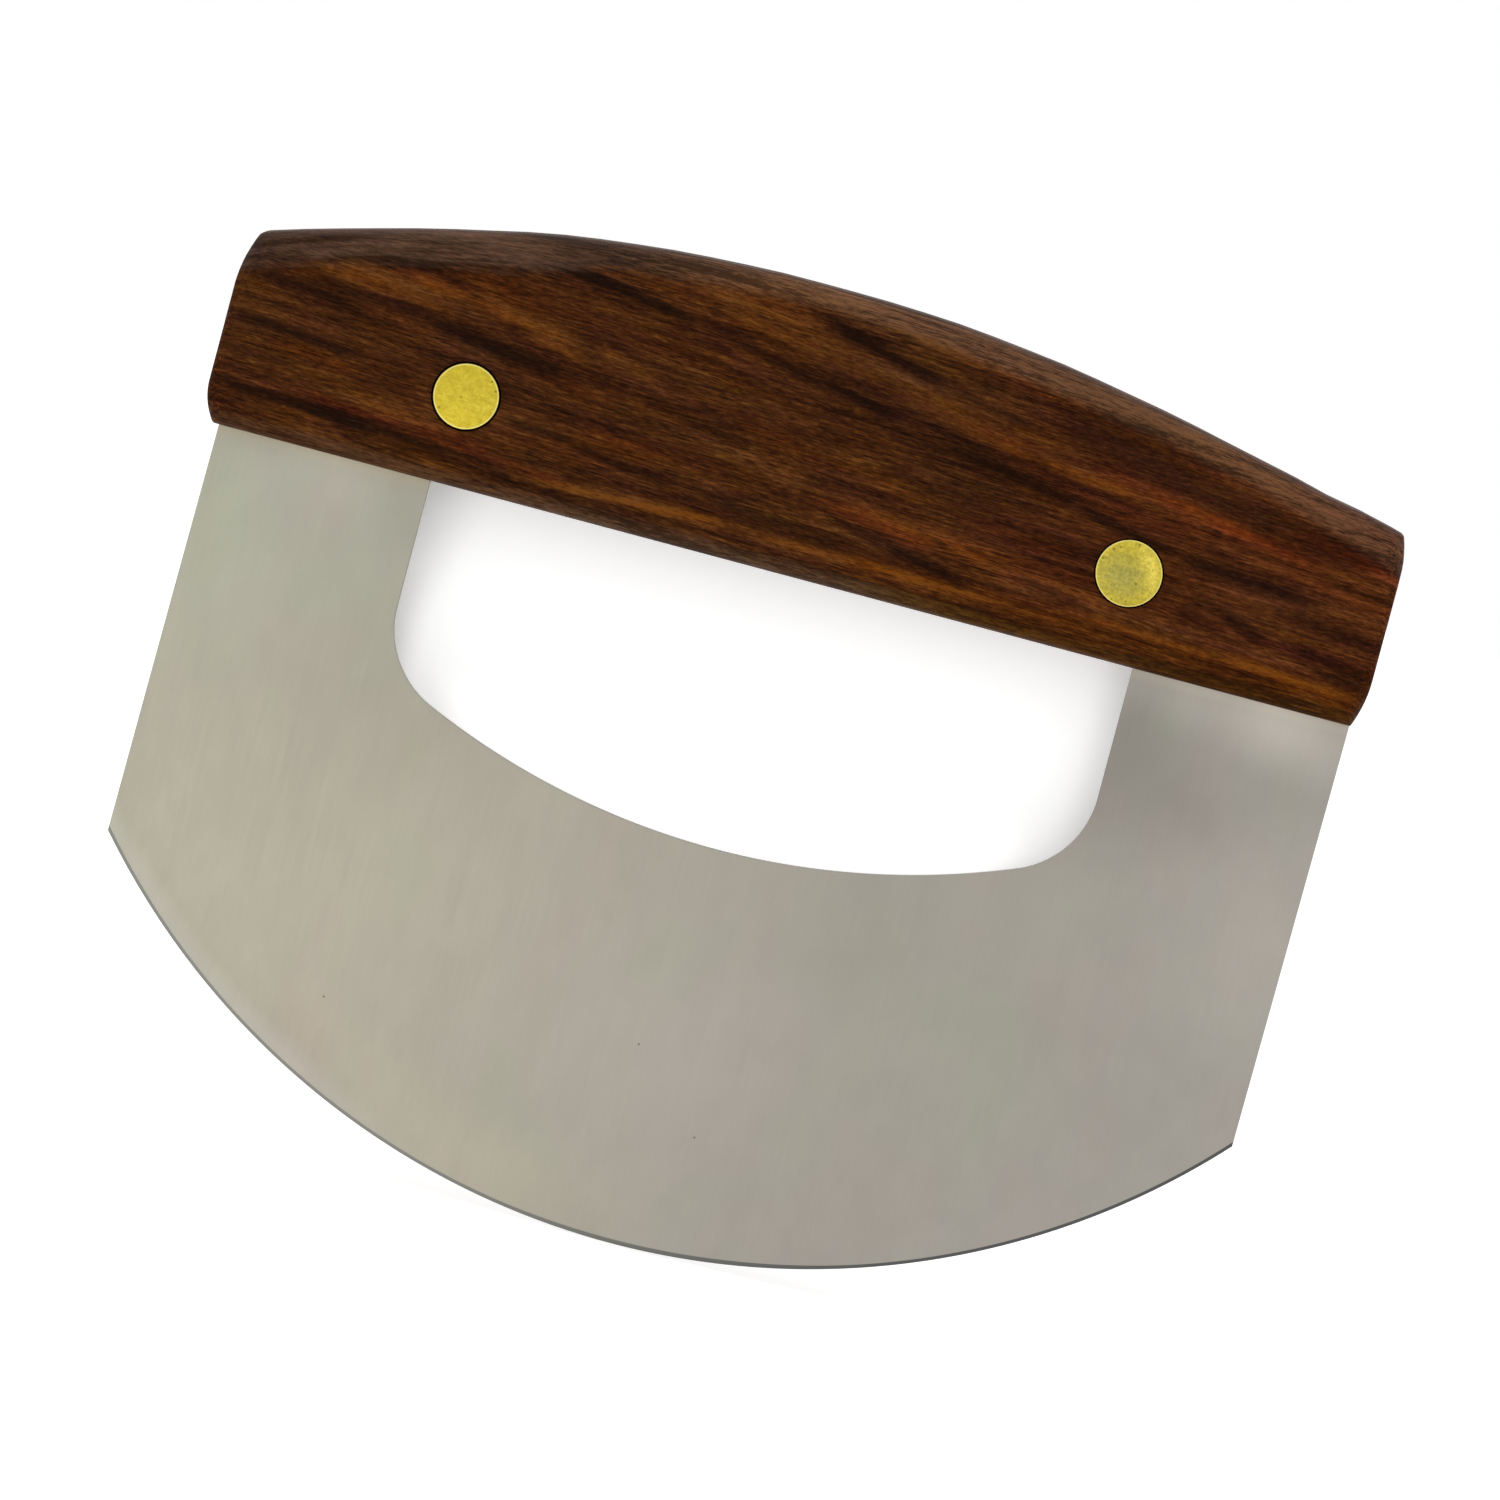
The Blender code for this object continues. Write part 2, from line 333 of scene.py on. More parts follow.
def make_handle():
    """A rounded section is swung along the crown, cut to length and rounded at its ends."""
    # The section is deeper than the handle, and its lower part is cut off after the swing
    axis = (0, 0, HANDLE_TOP - CROWN_RADIUS)
    spare_length = 3 * MM
    swing = math.atan((HALF_LENGTH + spare_length) / (HANDLE_LOW - axis[2]))
    depth = 48 * MM
    middle = CROWN_RADIUS - depth / 2
    bpy.ops.object.select_all(action="DESELECT")
    bpy.ops.mesh.primitive_plane_add(
        size=1,
        location=(-middle * math.sin(swing), 0, axis[2] + middle * math.cos(swing)),
        rotation=(0, math.pi / 2 - swing, 0),
    )
    bpy.context.object.scale = (depth, 2 * FACE_Y, 1)
    handle = begin("walnut_handle")

    edit(handle)
    bpy.ops.mesh.select_mode(type="VERT")
    bpy.ops.mesh.select_all(action="DESELECT")
    mesh = bmesh.from_edit_mesh(handle.data)
    high = sorted(mesh.verts, key=lambda vert: vert.co.z)[2:]
    for vert in high:
        vert.select_set(True)
    bmesh.update_edit_mesh(handle.data)
    bpy.ops.mesh.bevel(
        offset=CROWN_ROUNDING, segments=ROUNDING_STEPS, affect="VERTICES", clamp_overlap=False
    )
    bpy.ops.mesh.select_all(action="SELECT")
    bpy.ops.mesh.spin(steps=CROWN_STEPS, angle=-2 * swing, center=axis, axis=(0, 1, 0))
    merge_doubles()
    bpy.ops.mesh.normals_make_consistent(inside=False)

    slice_off((0, 0, HANDLE_LOW), (0, 0, -1))
    pick_edges(
        handle,
        lambda a, b, normals: max(a.z, b.z) < HANDLE_LOW + ON_FACE
        and min(abs(a.y), abs(b.y)) > FACE_Y - ON_FACE
        and a.y * b.y > 0,
    )
    bpy.ops.mesh.bevel(
        offset=LOWER_ROUNDING, segments=ROUNDING_STEPS, affect="EDGES", clamp_overlap=False
    )
    for side in ("left", "right"):
        round_end(side)
    merge_doubles()
    leave()

    for vert in handle.data.vertices:
        height = crown_height(min(abs(vert.co.x), HALF_LENGTH)) - HANDLE_LOW
        share = min(max((vert.co.z - HANDLE_LOW) / height, 0), 1)
        vert.co.z += sanding(vert.co.x) * share**3

    slot_half = BLADE_HALF + BLADE_FIT
    slot_low = (-HALF_LENGTH - OVERRUN, -slot_half, HANDLE_LOW - OVERRUN)
    slot_high = (HALF_LENGTH + OVERRUN, slot_half, TANG_TOP + BLADE_FIT)
    cut_away(handle, block("slot", slot_low, slot_high))
    seat_y = HEAD_SEAT_Y - BORE_GAP
    for x in RIVET_X.values():
        bore(handle, x, TUBE_RADIUS + BORE_GAP, -FACE_Y - OVERRUN, FACE_Y + OVERRUN)
        bore(handle, x, HEAD_RADIUS + HEAD_GAP, -FACE_Y - OVERRUN, -seat_y)
        bore(handle, x, HEAD_RADIUS + HEAD_GAP, seat_y, FACE_Y + OVERRUN)
    close_up(handle)
    return handle


# Blade

def make_opening_tool():
    """A slice of a large disc, with its two lower corners taken off along an arc."""
    middle_z = OPENING_LOW + OPENING_RADIUS
    tool = disc("opening", ARC_X, middle_z, OPENING_RADIUS, -OVERRUN, OVERRUN, ARC_SIDES)
    edit(tool)
    slice_off((OPENING_LEFT, 0, 0), (-1, 0, 0))
    slice_off((OPENING_RIGHT, 0, 0), (1, 0, 0))
    slice_off((0, 0, OPENING_TOP), (0, 0, 1))
    for side_x, inwards in ((OPENING_LEFT, 1), (OPENING_RIGHT, -1)):
        centre_x = side_x + inwards * OPENING_CORNER
        across = centre_x - ARC_X
        down = math.sqrt((OPENING_RADIUS - OPENING_CORNER) ** 2 - across**2)
        centre_z = middle_z - down
        sideways = math.atan2(down, abs(across))
        for step in range(OPENING_CORNER_STEPS):
            angle = sideways * (step + 0.5) / OPENING_CORNER_STEPS
            normal = Vector((-inwards * math.cos(angle), 0, -math.sin(angle)))
            slice_off(Vector((centre_x, 0, centre_z)) + normal * OPENING_CORNER, normal)
    leave()
    return tool


def make_blade():
    """A thin disc thickens inwards from its rim in two steps, and is cut to the blade."""
    blade = disc("steel_blade", ARC_X, EDGE_RADIUS, EDGE_RADIUS, -EDGE_HALF, EDGE_HALF, ARC_SIDES)

    def cap(centre, normal):
        return abs(centre.x - ARC_X) < IN_MIDDLE and abs(normal.y) > 0.99

    def open_rim(a, b, normals):
        """The rims of the sides and of the opening, but not of the tang and its holes."""
        hole_distance = min((a - Vector((x, a.y, RIVET_Z))).length for x in RIVET_X.values())
        return (
            min(abs(a.y), abs(b.y)) > BLADE_HALF - ON_FACE
            and a.y * b.y > 0
            and any(abs(normal.y) < 0.1 for normal in normals)
            and max(a.z, b.z) < TANG_TOP - 1 * MM
            and hole_distance > 4 * MM
        )

    edit(blade)
    for width, rise in (
        (BEVEL_WIDTH, BEVEL_HALF - EDGE_HALF),
        (GRIND_WIDTH - BEVEL_WIDTH, BLADE_HALF - BEVEL_HALF),
    ):
        pick_faces(blade, cap)
        bpy.ops.mesh.inset(
            thickness=width, depth=rise, use_individual=True, use_even_offset=True
        )
    side_normal = Vector((math.cos(BLADE_LEAN), 0, -math.sin(BLADE_LEAN)))
    slice_off((BLADE_LEFT, 0, HANDLE_LOW), -side_normal)
    slice_off((BLADE_RIGHT, 0, HANDLE_LOW), side_normal)
    slice_off((0, 0, TANG_TOP), (0, 0, 1))
    leave()
    cut_away(blade, make_opening_tool())
    for x in RIVET_X.values():
        bore(blade, x, TUBE_RADIUS + BORE_GAP, -OVERRUN, OVERRUN)

    edit(blade)
    merge_doubles()
    pick_edges(blade, open_rim)
    bpy.ops.mesh.bevel(offset=RIM_BREAK, segments=2, affect="EDGES", clamp_overlap=False)
    leave()
    close_up(blade, BLADE_SHARP_ANGLE)
    even = blade.modifiers.new("even_normals", "WEIGHTED_NORMAL")
    even.keep_sharp = True
    use_modifier(blade, even.name)
    return blade


# Rivets

def make_rivet(name, x, facing, stem):
    """A head on the front (facing -1) or back (1), with a pin or a tube behind it."""
    outer = facing * FACE_Y
    seat = facing * HEAD_SEAT_Y
    front, back = min(outer, seat), max(outer, seat)
    rivet = disc(name, x, RIVET_Z, HEAD_RADIUS, front, back, RIVET_SIDES)
    inwards = Vector((0, -facing, 0))

    def inner_cap(centre, normal):
        return normal.dot(inwards) > 0.99 and abs(centre.x - x) < IN_MIDDLE

    edit(rivet)
    radius = PIN_RADIUS if stem == "pin" else TUBE_RADIUS
    tip = PIN_TIP_Y if stem == "pin" else TUBE_MOUTH_Y
    pick_faces(rivet, inner_cap)
    bpy.ops.mesh.inset(thickness=HEAD_RADIUS - radius, depth=0)
    bpy.ops.mesh.extrude_region_move(
        TRANSFORM_OT_translate={"value": inwards * (HEAD_SEAT_Y + tip)}
    )
    if stem == "tube":
        bpy.ops.mesh.inset(thickness=TUBE_RADIUS - BORE_RADIUS, depth=0)
        bpy.ops.mesh.extrude_region_move(
            TRANSFORM_OT_translate={"value": -inwards * (HEAD_SEAT_Y + tip)}
        )
    pick_edges(
        rivet,
        lambda a, b, normals: abs(a.y - outer) < ON_FACE and abs(b.y - outer) < ON_FACE,
    )
    bpy.ops.mesh.bevel(offset=HEAD_BREAK, segments=4, affect="EDGES")
    leave()
    close_up(rivet)
    return rivet


# Material building

def put(tree, kind, inputs=None, **settings):
    """Adds a node, and feeds its inputs with plain values or with other nodes' outputs."""
    node = tree.nodes.new(kind)
    for name, value in settings.items():
        setattr(node, name, value)
    for key, value in (inputs or {}).items():
        if isinstance(value, bpy.types.NodeSocket):
            tree.links.new(value, node.inputs[key])
        else:
            node.inputs[key].default_value = value
    return node


def calc(tree, operation, *values):
    node = put(tree, "ShaderNodeMath", dict(enumerate(values)), operation=operation)
    return node.outputs[0]


def ease(tree, value, start, end, low=0.0, high=1.0):
    """Goes smoothly from low to high while the value goes from start to end."""
    spread = {"Value": value, "From Min": start, "From Max": end, "To Min": low, "To Max": high}
    node = put(tree, "ShaderNodeMapRange", spread, interpolation_type="SMOOTHSTEP", clamp=False)
    return node.outputs[0]


def join(tree, x, y, z):
    return put(tree, "ShaderNodeCombineXYZ", {0: x, 1: y, 2: z}).outputs[0]


def stretched_noise(tree, place, per_metre, detail=2.0, roughness=0.5):
    """Noise that varies so many times a metre along each of the three directions."""
    scaled = [calc(tree, "MULTIPLY", value, times) for value, times in zip(place, per_metre)]
    noise = {
        "Vector": join(tree, *scaled), "Scale": 1.0, "Detail": detail, "Roughness": roughness,
    }
    return put(tree, "ShaderNodeTexNoise", noise).outputs[0]


def distance(tree, across, up):
    """How far away a place is that lies this far across and this far up."""
    squares = calc(tree, "MULTIPLY_ADD", across, across, calc(tree, "MULTIPLY", up, up))
    return calc(tree, "SQRT", squares)


def blend(tree, share, first, second, mode="MIX"):
    """The first colour where the share is 0, and the second one where it is 1."""
    mix = put(tree, "ShaderNodeMix", data_type="RGBA", blend_type=mode)
    factor = mix.inputs["Factor"]
    first_colour, second_colour = [s for s in mix.inputs if s.type == "RGBA"]
    for socket, value in ((factor, share), (first_colour, first), (second_colour, second)):
        if isinstance(value, bpy.types.NodeSocket):
            tree.links.new(value, socket)
        elif socket is factor:
            socket.default_value = value
        else:
            socket.default_value = (*value, 1.0)
    return [s for s in mix.outputs if s.type == "RGBA"][0]


def tinge(tree, share, colour, factors):
    """Multiplies the colour's red, green and blue by the factors, as far as the share says."""
    return blend(tree, share, colour, factors, "MULTIPLY")


def tinge_where(tree, colour, rows):
    """Tinges the colour where a pattern goes from start to end, up to the most that is given."""
    for pattern, start, end, most, factors in rows:
        colour = tinge(tree, ease(tree, pattern, start, end, 0.0, most), colour, factors)
    return colour


def dim(tree, colour, level):
    """Makes the colour darker or brighter all through."""
    return tinge(tree, 1.0, colour, join(tree, level, level, level))


def colour_scale(tree, value, stops):
    """The colour at this value, between colours that are given at places from 0 to 1."""
    ramp = put(tree, "ShaderNodeValToRGB", {"Fac": value})
    elements = ramp.color_ramp.elements
    while len(elements) < len(stops):
        elements.new(0.5)
    for element, (place, colour) in zip(elements, stops):
        element.position = place
        element.color = (*colour, 1.0)
    return ramp.outputs[0]


def object_place(tree):
    """Where a point of the surface is: its X, Y and Z."""
    coordinates = put(tree, "ShaderNodeTexCoord")
    return tuple(put(tree, "ShaderNodeSeparateXYZ", {0: coordinates.outputs["Object"]}).outputs)


def new_group(name, inputs, outputs):
    """A node group with number inputs, each with its usual value, and number outputs."""
    group = bpy.data.node_groups.new(name, "ShaderNodeTree")
    for label, value in inputs.items():
        socket = group.interface.new_socket(label, in_out="INPUT", socket_type="NodeSocketFloat")
        socket.default_value = value
    for label in outputs:
        group.interface.new_socket(label, in_out="OUTPUT", socket_type="NodeSocketFloat")
    return group, put(group, "NodeGroupInput").outputs, put(group, "NodeGroupOutput").inputs


def use_group(tree, group, inputs):
    return put(tree, "ShaderNodeGroup", inputs, node_tree=group).outputs


def new_material(name, constants):
    """A material whose shader has these plain values, for example its roughness."""
    material = bpy.data.materials.new(name)
    material.use_nodes = True
    shader = material.node_tree.nodes["Principled BSDF"]
    for label, value in constants.items():
        shader.inputs[label].default_value = value
    return material, material.node_tree, shader


def bump(tree, shader, height, depth):
    """Shades the surface as if it rose with the height, by up to the depth."""
    node = put(tree, "ShaderNodeBump", {"Height": height, "Distance": depth, "Strength": 1.0})
    tree.links.new(node.outputs[0], shader.inputs["Normal"])


# Shared effects

# How far a streak's soft flank reaches, in half widths, and a speck's soft rim, in radii
STREAK_FLANK = 1.27
SPECK_RIM = 1.15


def make_streak_group():
    """A soft streak from one point to another, as wide as given, that fades at its ends."""
    usual = {
        "X": 0, "Z": 0, "Start X": 0, "Start Z": 0, "End X": 1, "End Z": 0, "Half Width": 1,
        "Strength": 1,
    }
    group, given, result = new_group("streak", usual, ["Mask"])
    length = calc(group, "SUBTRACT", given["End X"], given["Start X"])
    along = calc(group, "DIVIDE", calc(group, "SUBTRACT", given["X"], given["Start X"]), length)
    rise = calc(group, "SUBTRACT", given["End Z"], given["Start Z"])
    line = calc(group, "MULTIPLY_ADD", along, rise, given["Start Z"])
    away = calc(group, "ABSOLUTE", calc(group, "SUBTRACT", given["Z"], line))
    across = ease(group, calc(group, "DIVIDE", away, given["Half Width"]), STREAK_FLANK, 0.0)
    starting = ease(group, along, -0.12, 0.25)
    inside = calc(group, "MULTIPLY", starting, ease(group, along, 1.12, 0.75))
    mask = calc(group, "MULTIPLY", calc(group, "MULTIPLY", across, inside), given["Strength"])
    group.links.new(mask, result["Mask"])
    return group


def make_speck_group():
    """A round speck with a soft rim: Full is the share of the radius that is at full strength."""
    usual = {"X": 0, "Z": 0, "Speck X": 0, "Speck Z": 0, "Radius": 1, "Full": 0.7}
    group, given, result = new_group("speck", usual, ["Mask"])
    across = calc(group, "SUBTRACT", given["X"], given["Speck X"])
    up = calc(group, "SUBTRACT", given["Z"], given["Speck Z"])
    share = calc(group, "DIVIDE", distance(group, up, across), given["Radius"])
    group.links.new(ease(group, share, SPECK_RIM, given["Full"]), result["Mask"])
    return group


def make_scratch_group():
    """Fine parallel marks of grinding, with a few deeper ones."""
    usual = {"Along": 0, "Across": 0, "Depth": 0, "Lines": 8000, "Run": 120}
    group, given, result = new_group("grinding_marks", usual, ["Fine", "Deep"])
    across = calc(group, "MULTIPLY", given["Across"], given["Lines"])
    along = calc(group, "MULTIPLY", given["Along"], given["Run"])
    depth = calc(group, "MULTIPLY", given["Depth"], given["Lines"])
    place = join(group, across, depth, along)

    def noise(scale, detail):
        values = {"Vector": place, "Scale": scale, "Detail": detail}
        return put(group, "ShaderNodeTexNoise", values).outputs[0]

    group.links.new(noise(1.0, 3.0), result["Fine"])
    group.links.new(ease(group, noise(0.31, 1.0), 0.66, 0.8), result["Deep"])
    return group


STREAK = make_streak_group()
SPECK = make_speck_group()
MARKS = make_scratch_group()

# Dark, light and red streaks of the walnut's front face, in mm along the handle and above its
# lower face: start x, start z, end x, end z, half width, strength
DARK_STREAKS = [
    (-39.5, 31.9, -18.0, 28.9, 1.0, 1.0),
    (-19.5, 29.4, 1.0, 24.6, 0.9, 0.7),
    (-38.5, 31.6, -24.5, 35.6, 0.6, 0.7),
    (-36.5, 33.2, -29.0, 34.9, 0.5, 0.5),
    (-60.5, 26.0, -51.0, 27.1, 0.9, 0.85),
    (-52.5, 26.9, -46.0, 25.9, 0.7, 0.4),
    (-69.0, 21.6, -50.0, 20.3, 1.4, 0.6),
    (-53.0, 20.2, -33.0, 17.5, 1.5, 0.75),
    (-77.8, 20.6, -61.0, 19.5, 1.0, 0.6),
    (-77.8, 14.5, -58.5, 13.3, 0.8, 0.7),
    (-77.8, 10.2, -67.0, 9.9, 0.7, 0.4),
    (-77.8, 5.9, -54.0, 4.6, 1.0, 0.9),
    (-56.0, 4.9, -44.0, 4.0, 0.6, 0.4),
    (-40.0, 10.3, -28.5, 9.6, 0.9, 0.7),
    (-31.0, 9.2, -16.5, 7.9, 0.9, 0.55),
    (-17.5, 16.2, -7.0, 15.3, 0.8, 0.5),
    (-12.0, 7.5, 2.0, 6.4, 0.8, 0.45),
    (-2.5, 33.2, 15.5, 28.9, 1.1, 1.0),
    (14.0, 29.2, 30.0, 26.3, 0.9, 0.7),
    (-2.0, 25.9, 10.0, 23.4, 1.0, 0.75),
    (28.0, 28.5, 52.0, 25.0, 3.4, 0.35),
    (48.0, 25.0, 74.0, 20.0, 2.0, 0.35),
    (56.0, 21.9, 70.0, 18.4, 1.1, 0.45),
    (18.0, 21.7, 37.0, 18.5, 1.1, 0.75),
    (34.0, 18.8, 50.0, 15.6, 1.1, 0.85),
    (48.5, 15.4, 69.0, 13.9, 1.2, 0.85),
    (62.0, 12.4, 78.0, 10.6, 1.4, 0.45),
    (56.5, 9.6, 63.0, 7.8, 1.0, 0.85),
    (50.0, 8.8, 57.0, 8.2, 0.9, 0.5),
    (66.0, 8.4, 78.0, 6.4, 2.0, 0.6),
    (69.5, 6.2, 77.5, 5.2, 0.8, 0.8),
    (12.0, 7.3, 24.0, 4.9, 0.9, 0.75),
    (5.0, 8.9, 13.0, 7.1, 0.7, 0.45),
    (30.0, 7.6, 40.0, 6.3, 0.8, 0.4),
    (-2.0, 1.9, 40.0, 1.8, 0.45, 0.5),
    (42.0, 1.7, 70.0, 1.4, 0.45, 0.5),
]
LIGHT_STREAKS = [
    (-67.0, 24.1, -49.0, 21.8, 1.6, 0.6),
    (-56.0, 25.3, -47.5, 24.0, 1.0, 0.6),
    (-46.0, 24.5, -32.5, 22.0, 1.6, 0.85),
    (-39.5, 21.9, -31.0, 20.2, 1.0, 0.75),
    (-22.0, 33.8, -3.0, 32.6, 1.7, 0.6),
    (-15.0, 31.0, 0.0, 28.6, 1.7, 0.6),
    (-30.0, 22.2, -21.0, 19.8, 1.1, 0.6),
    (-68.5, 4.5, -60.5, 4.0, 0.6, 0.6),
    (-36.0, 3.6, -5.0, 4.5, 0.85, 1.25),
    (-41.0, 4.9, -28.0, 4.3, 0.5, 0.5),
    (-6.0, 4.3, 22.0, 3.6, 0.95, 1.1),
    (6.0, 4.7, 30.0, 3.5, 0.7, 0.9),
    (-77.0, 15.9, -61.0, 15.4, 0.7, 0.5),
    (-76.0, 17.9, -64.0, 17.3, 0.6, 0.35),
    (-28.5, 11.6, -17.0, 10.4, 0.8, 0.5),
    (-60.0, 7.7, -42.5, 6.4, 0.9, 0.55),
    (7.0, 27.6, 28.5, 23.1, 1.7, 0.95),
    (26.5, 23.6, 44.5, 21.3, 1.2, 0.7),
    (42.0, 22.4, 77.0, 17.4, 1.5, 0.75),
    (57.0, 18.2, 77.5, 15.6, 1.0, 0.5),
    (-2.0, 29.2, 8.0, 27.2, 1.8, 0.5),
    (38.0, 5.1, 59.5, 4.0, 0.8, 1.0),
    (57.0, 4.5, 77.6, 3.2, 1.1, 1.25),
    (5.0, 11.3, 18.5, 8.9, 1.6, 0.8),
    (16.5, 11.0, 30.0, 6.7, 1.1, 0.6),
    (25.5, 8.7, 43.0, 6.8, 1.0, 0.55),
    (8.5, 34.2, 40.0, 31.0, 0.9, 0.6),
]

RED_STREAKS = [
    (-66.0, 6.6, -50.0, 5.9, 1.0, 1.0),
    (-53.0, 6.1, -39.0, 5.2, 1.3, 1.0),
    (-43.0, 4.9, -29.0, 4.2, 0.8, 0.8),
    (-72.0, 12.2, -58.0, 11.0, 1.1, 0.5),
    (-40.0, 17.5, -26.0, 15.6, 1.3, 0.5),
    (2.0, 10.6, 18.0, 8.6, 1.3, 0.8),
    (20.0, 13.8, 36.0, 11.6, 1.2, 0.5),
    (36.0, 24.2, 52.0, 21.4, 1.4, 0.7),
    (50.0, 21.6, 68.0, 18.8, 1.4, 0.9),
    (62.0, 22.8, 77.6, 20.4, 1.2, 0.8),
]

# Painted light and shade on the steel, as soft round patches of painted highlight and shade: x,
# height above the edge's lowest point, radius in mm, and the change in brightness
STEEL_PAINTED_LIGHT = [
    (-49.0, 66.0, 34.0, -0.14),
    (-59.0, 90.5, 9.0, 0.1),
    (-15.0, 50.0, 34.0, -0.05),
    (22.0, 52.0, 22.0, -0.05),
    (18.0, 28.0, 60.0, -0.045),
    (47.0, 77.0, 19.0, -0.22),
    (60.5, 75.0, 13.0, -0.085),
    (51.0, 83.5, 8.0, -0.07),
    (-48.5, 83.0, 9.0, -0.06),
    (46.0, 91.0, 8.0, 0.18),
    (56.0, 90.5, 9.0, 0.25),
    (67.0, 89.5, 10.0, 0.46),
    (74.0, 87.0, 9.0, 0.2),
    (75.0, 59.0, 22.0, 0.13),
]

# Cooler stretches of the steel: x, height, radius in mm, and what they do to the colour
STEEL_TINTS = [
    (-61.0, 75.0, 30.0, (1.03, 1.09, 1.07)),
    (0.0, 27.0, 30.0, (1.05, 1.035, 1.075)),
]

# Dark specks of the steel, and how large they are
STEEL_SPECKS = [(-1.8, 26.1), (8.3, 16.2), (-43.0, 21.5)]
STEEL_SPECK_RADIUS = 0.16 * MM

STEEL_TONES = [(0.3, (0.368, 0.344, 0.306)), (0.7, (0.386, 0.362, 0.321))]
BRASS_TONES = [(0.3, (0.56, 0.428, 0.031)), (0.7, (0.70, 0.555, 0.058))]
DARKEST_WOOD = (0.008, 0.003, 0.0015)
WALNUT_TONES = [
    (0.0, (0.011, 0.0026, 0.0006)),
    (0.25, (0.0245, 0.0062, 0.0014)),
    (0.5, (0.0495, 0.0138, 0.0026)),
    (0.75, (0.087, 0.0275, 0.0052)),
    (1.0, (0.150, 0.053, 0.0115)),
]

# The sanded crown's colour from its left end to its right end, in mm along the handle: paler
# than the faces as a painted sheen, and brighter towards the right as painted light
CROWN_SHEEN_TONES = [
    (-72.0, (0.0435, 0.0235, 0.015)),
    (-52.0, (0.067, 0.0353, 0.0204)),
    (-31.0, (0.0556, 0.0281, 0.0163)),
    (-12.0, (0.129, 0.0585, 0.0242)),
    (10.0, (0.114, 0.0523, 0.0256)),
    (31.0, (0.0928, 0.0439, 0.021)),
    (52.0, (0.0995, 0.0449, 0.0188)),
    (72.0, (0.094, 0.0395, 0.0191)),
]

# How far the painted shade round each rivet head reaches into the wood
SHADE_RING_RADIUS = 4.72 * MM

# Dark specks of the rivets, in mm right of and above each middle, with their radius
BRASS_SPECKS = {
    "left": [(2.75, 2.7, 0.16), (3.55, 1.6, 0.2), (-3.05, -2.25, 0.2), (-0.62, -0.24, 0.14)],
    "right": [
        (0.38, 3.9, 0.17), (0.36, 3.6, 0.12), (-1.9, 3.0, 0.16), (-2.7, 2.55, 0.22),
        (-3.8, 1.1, 0.18), (-1.35, -3.75, 0.18), (0.5, -3.6, 0.16), (1.2, -1.1, 0.2),
    ],
}


def along_handle(x):
    """The share of the way from the handle's left end to its right end, for a colour scale."""
    return (x + HALF_LENGTH) / (2 * HALF_LENGTH)


def add_streaks(tree, streaks, x, z):
    """One mask of all the streaks. Where they cross, the stronger one shows."""
    total = 0.0
    for start_x, start_z, end_x, end_z, half_width, strength in streaks:
        mask = use_group(tree, STREAK, {
            "X": x, "Z": z,
            "Start X": start_x * MM, "Start Z": start_z * MM,
            "End X": end_x * MM, "End Z": end_z * MM,
            "Half Width": half_width * MM, "Strength": strength,
        })["Mask"]
        total = calc(tree, "MAXIMUM", total, mask)
    return total


def speck(tree, x, z, middle_x, middle_z, radius, full=0.7):
    """A round speck's mask. Full is the share of its radius that is at full strength."""
    return use_group(tree, SPECK, {
        "X": x, "Z": z, "Speck X": middle_x, "Speck Z": middle_z, "Radius": radius, "Full": full,
    })["Mask"]


def soft_patch(tree, x, z, middle_x_mm, middle_z_mm, radius_mm):
    """A round patch's mask, which fades all the way from its middle to its radius."""
    radius = radius_mm / SPECK_RIM * MM
    return speck(tree, x, z, middle_x_mm * MM, middle_z_mm * MM, radius, 0.0)


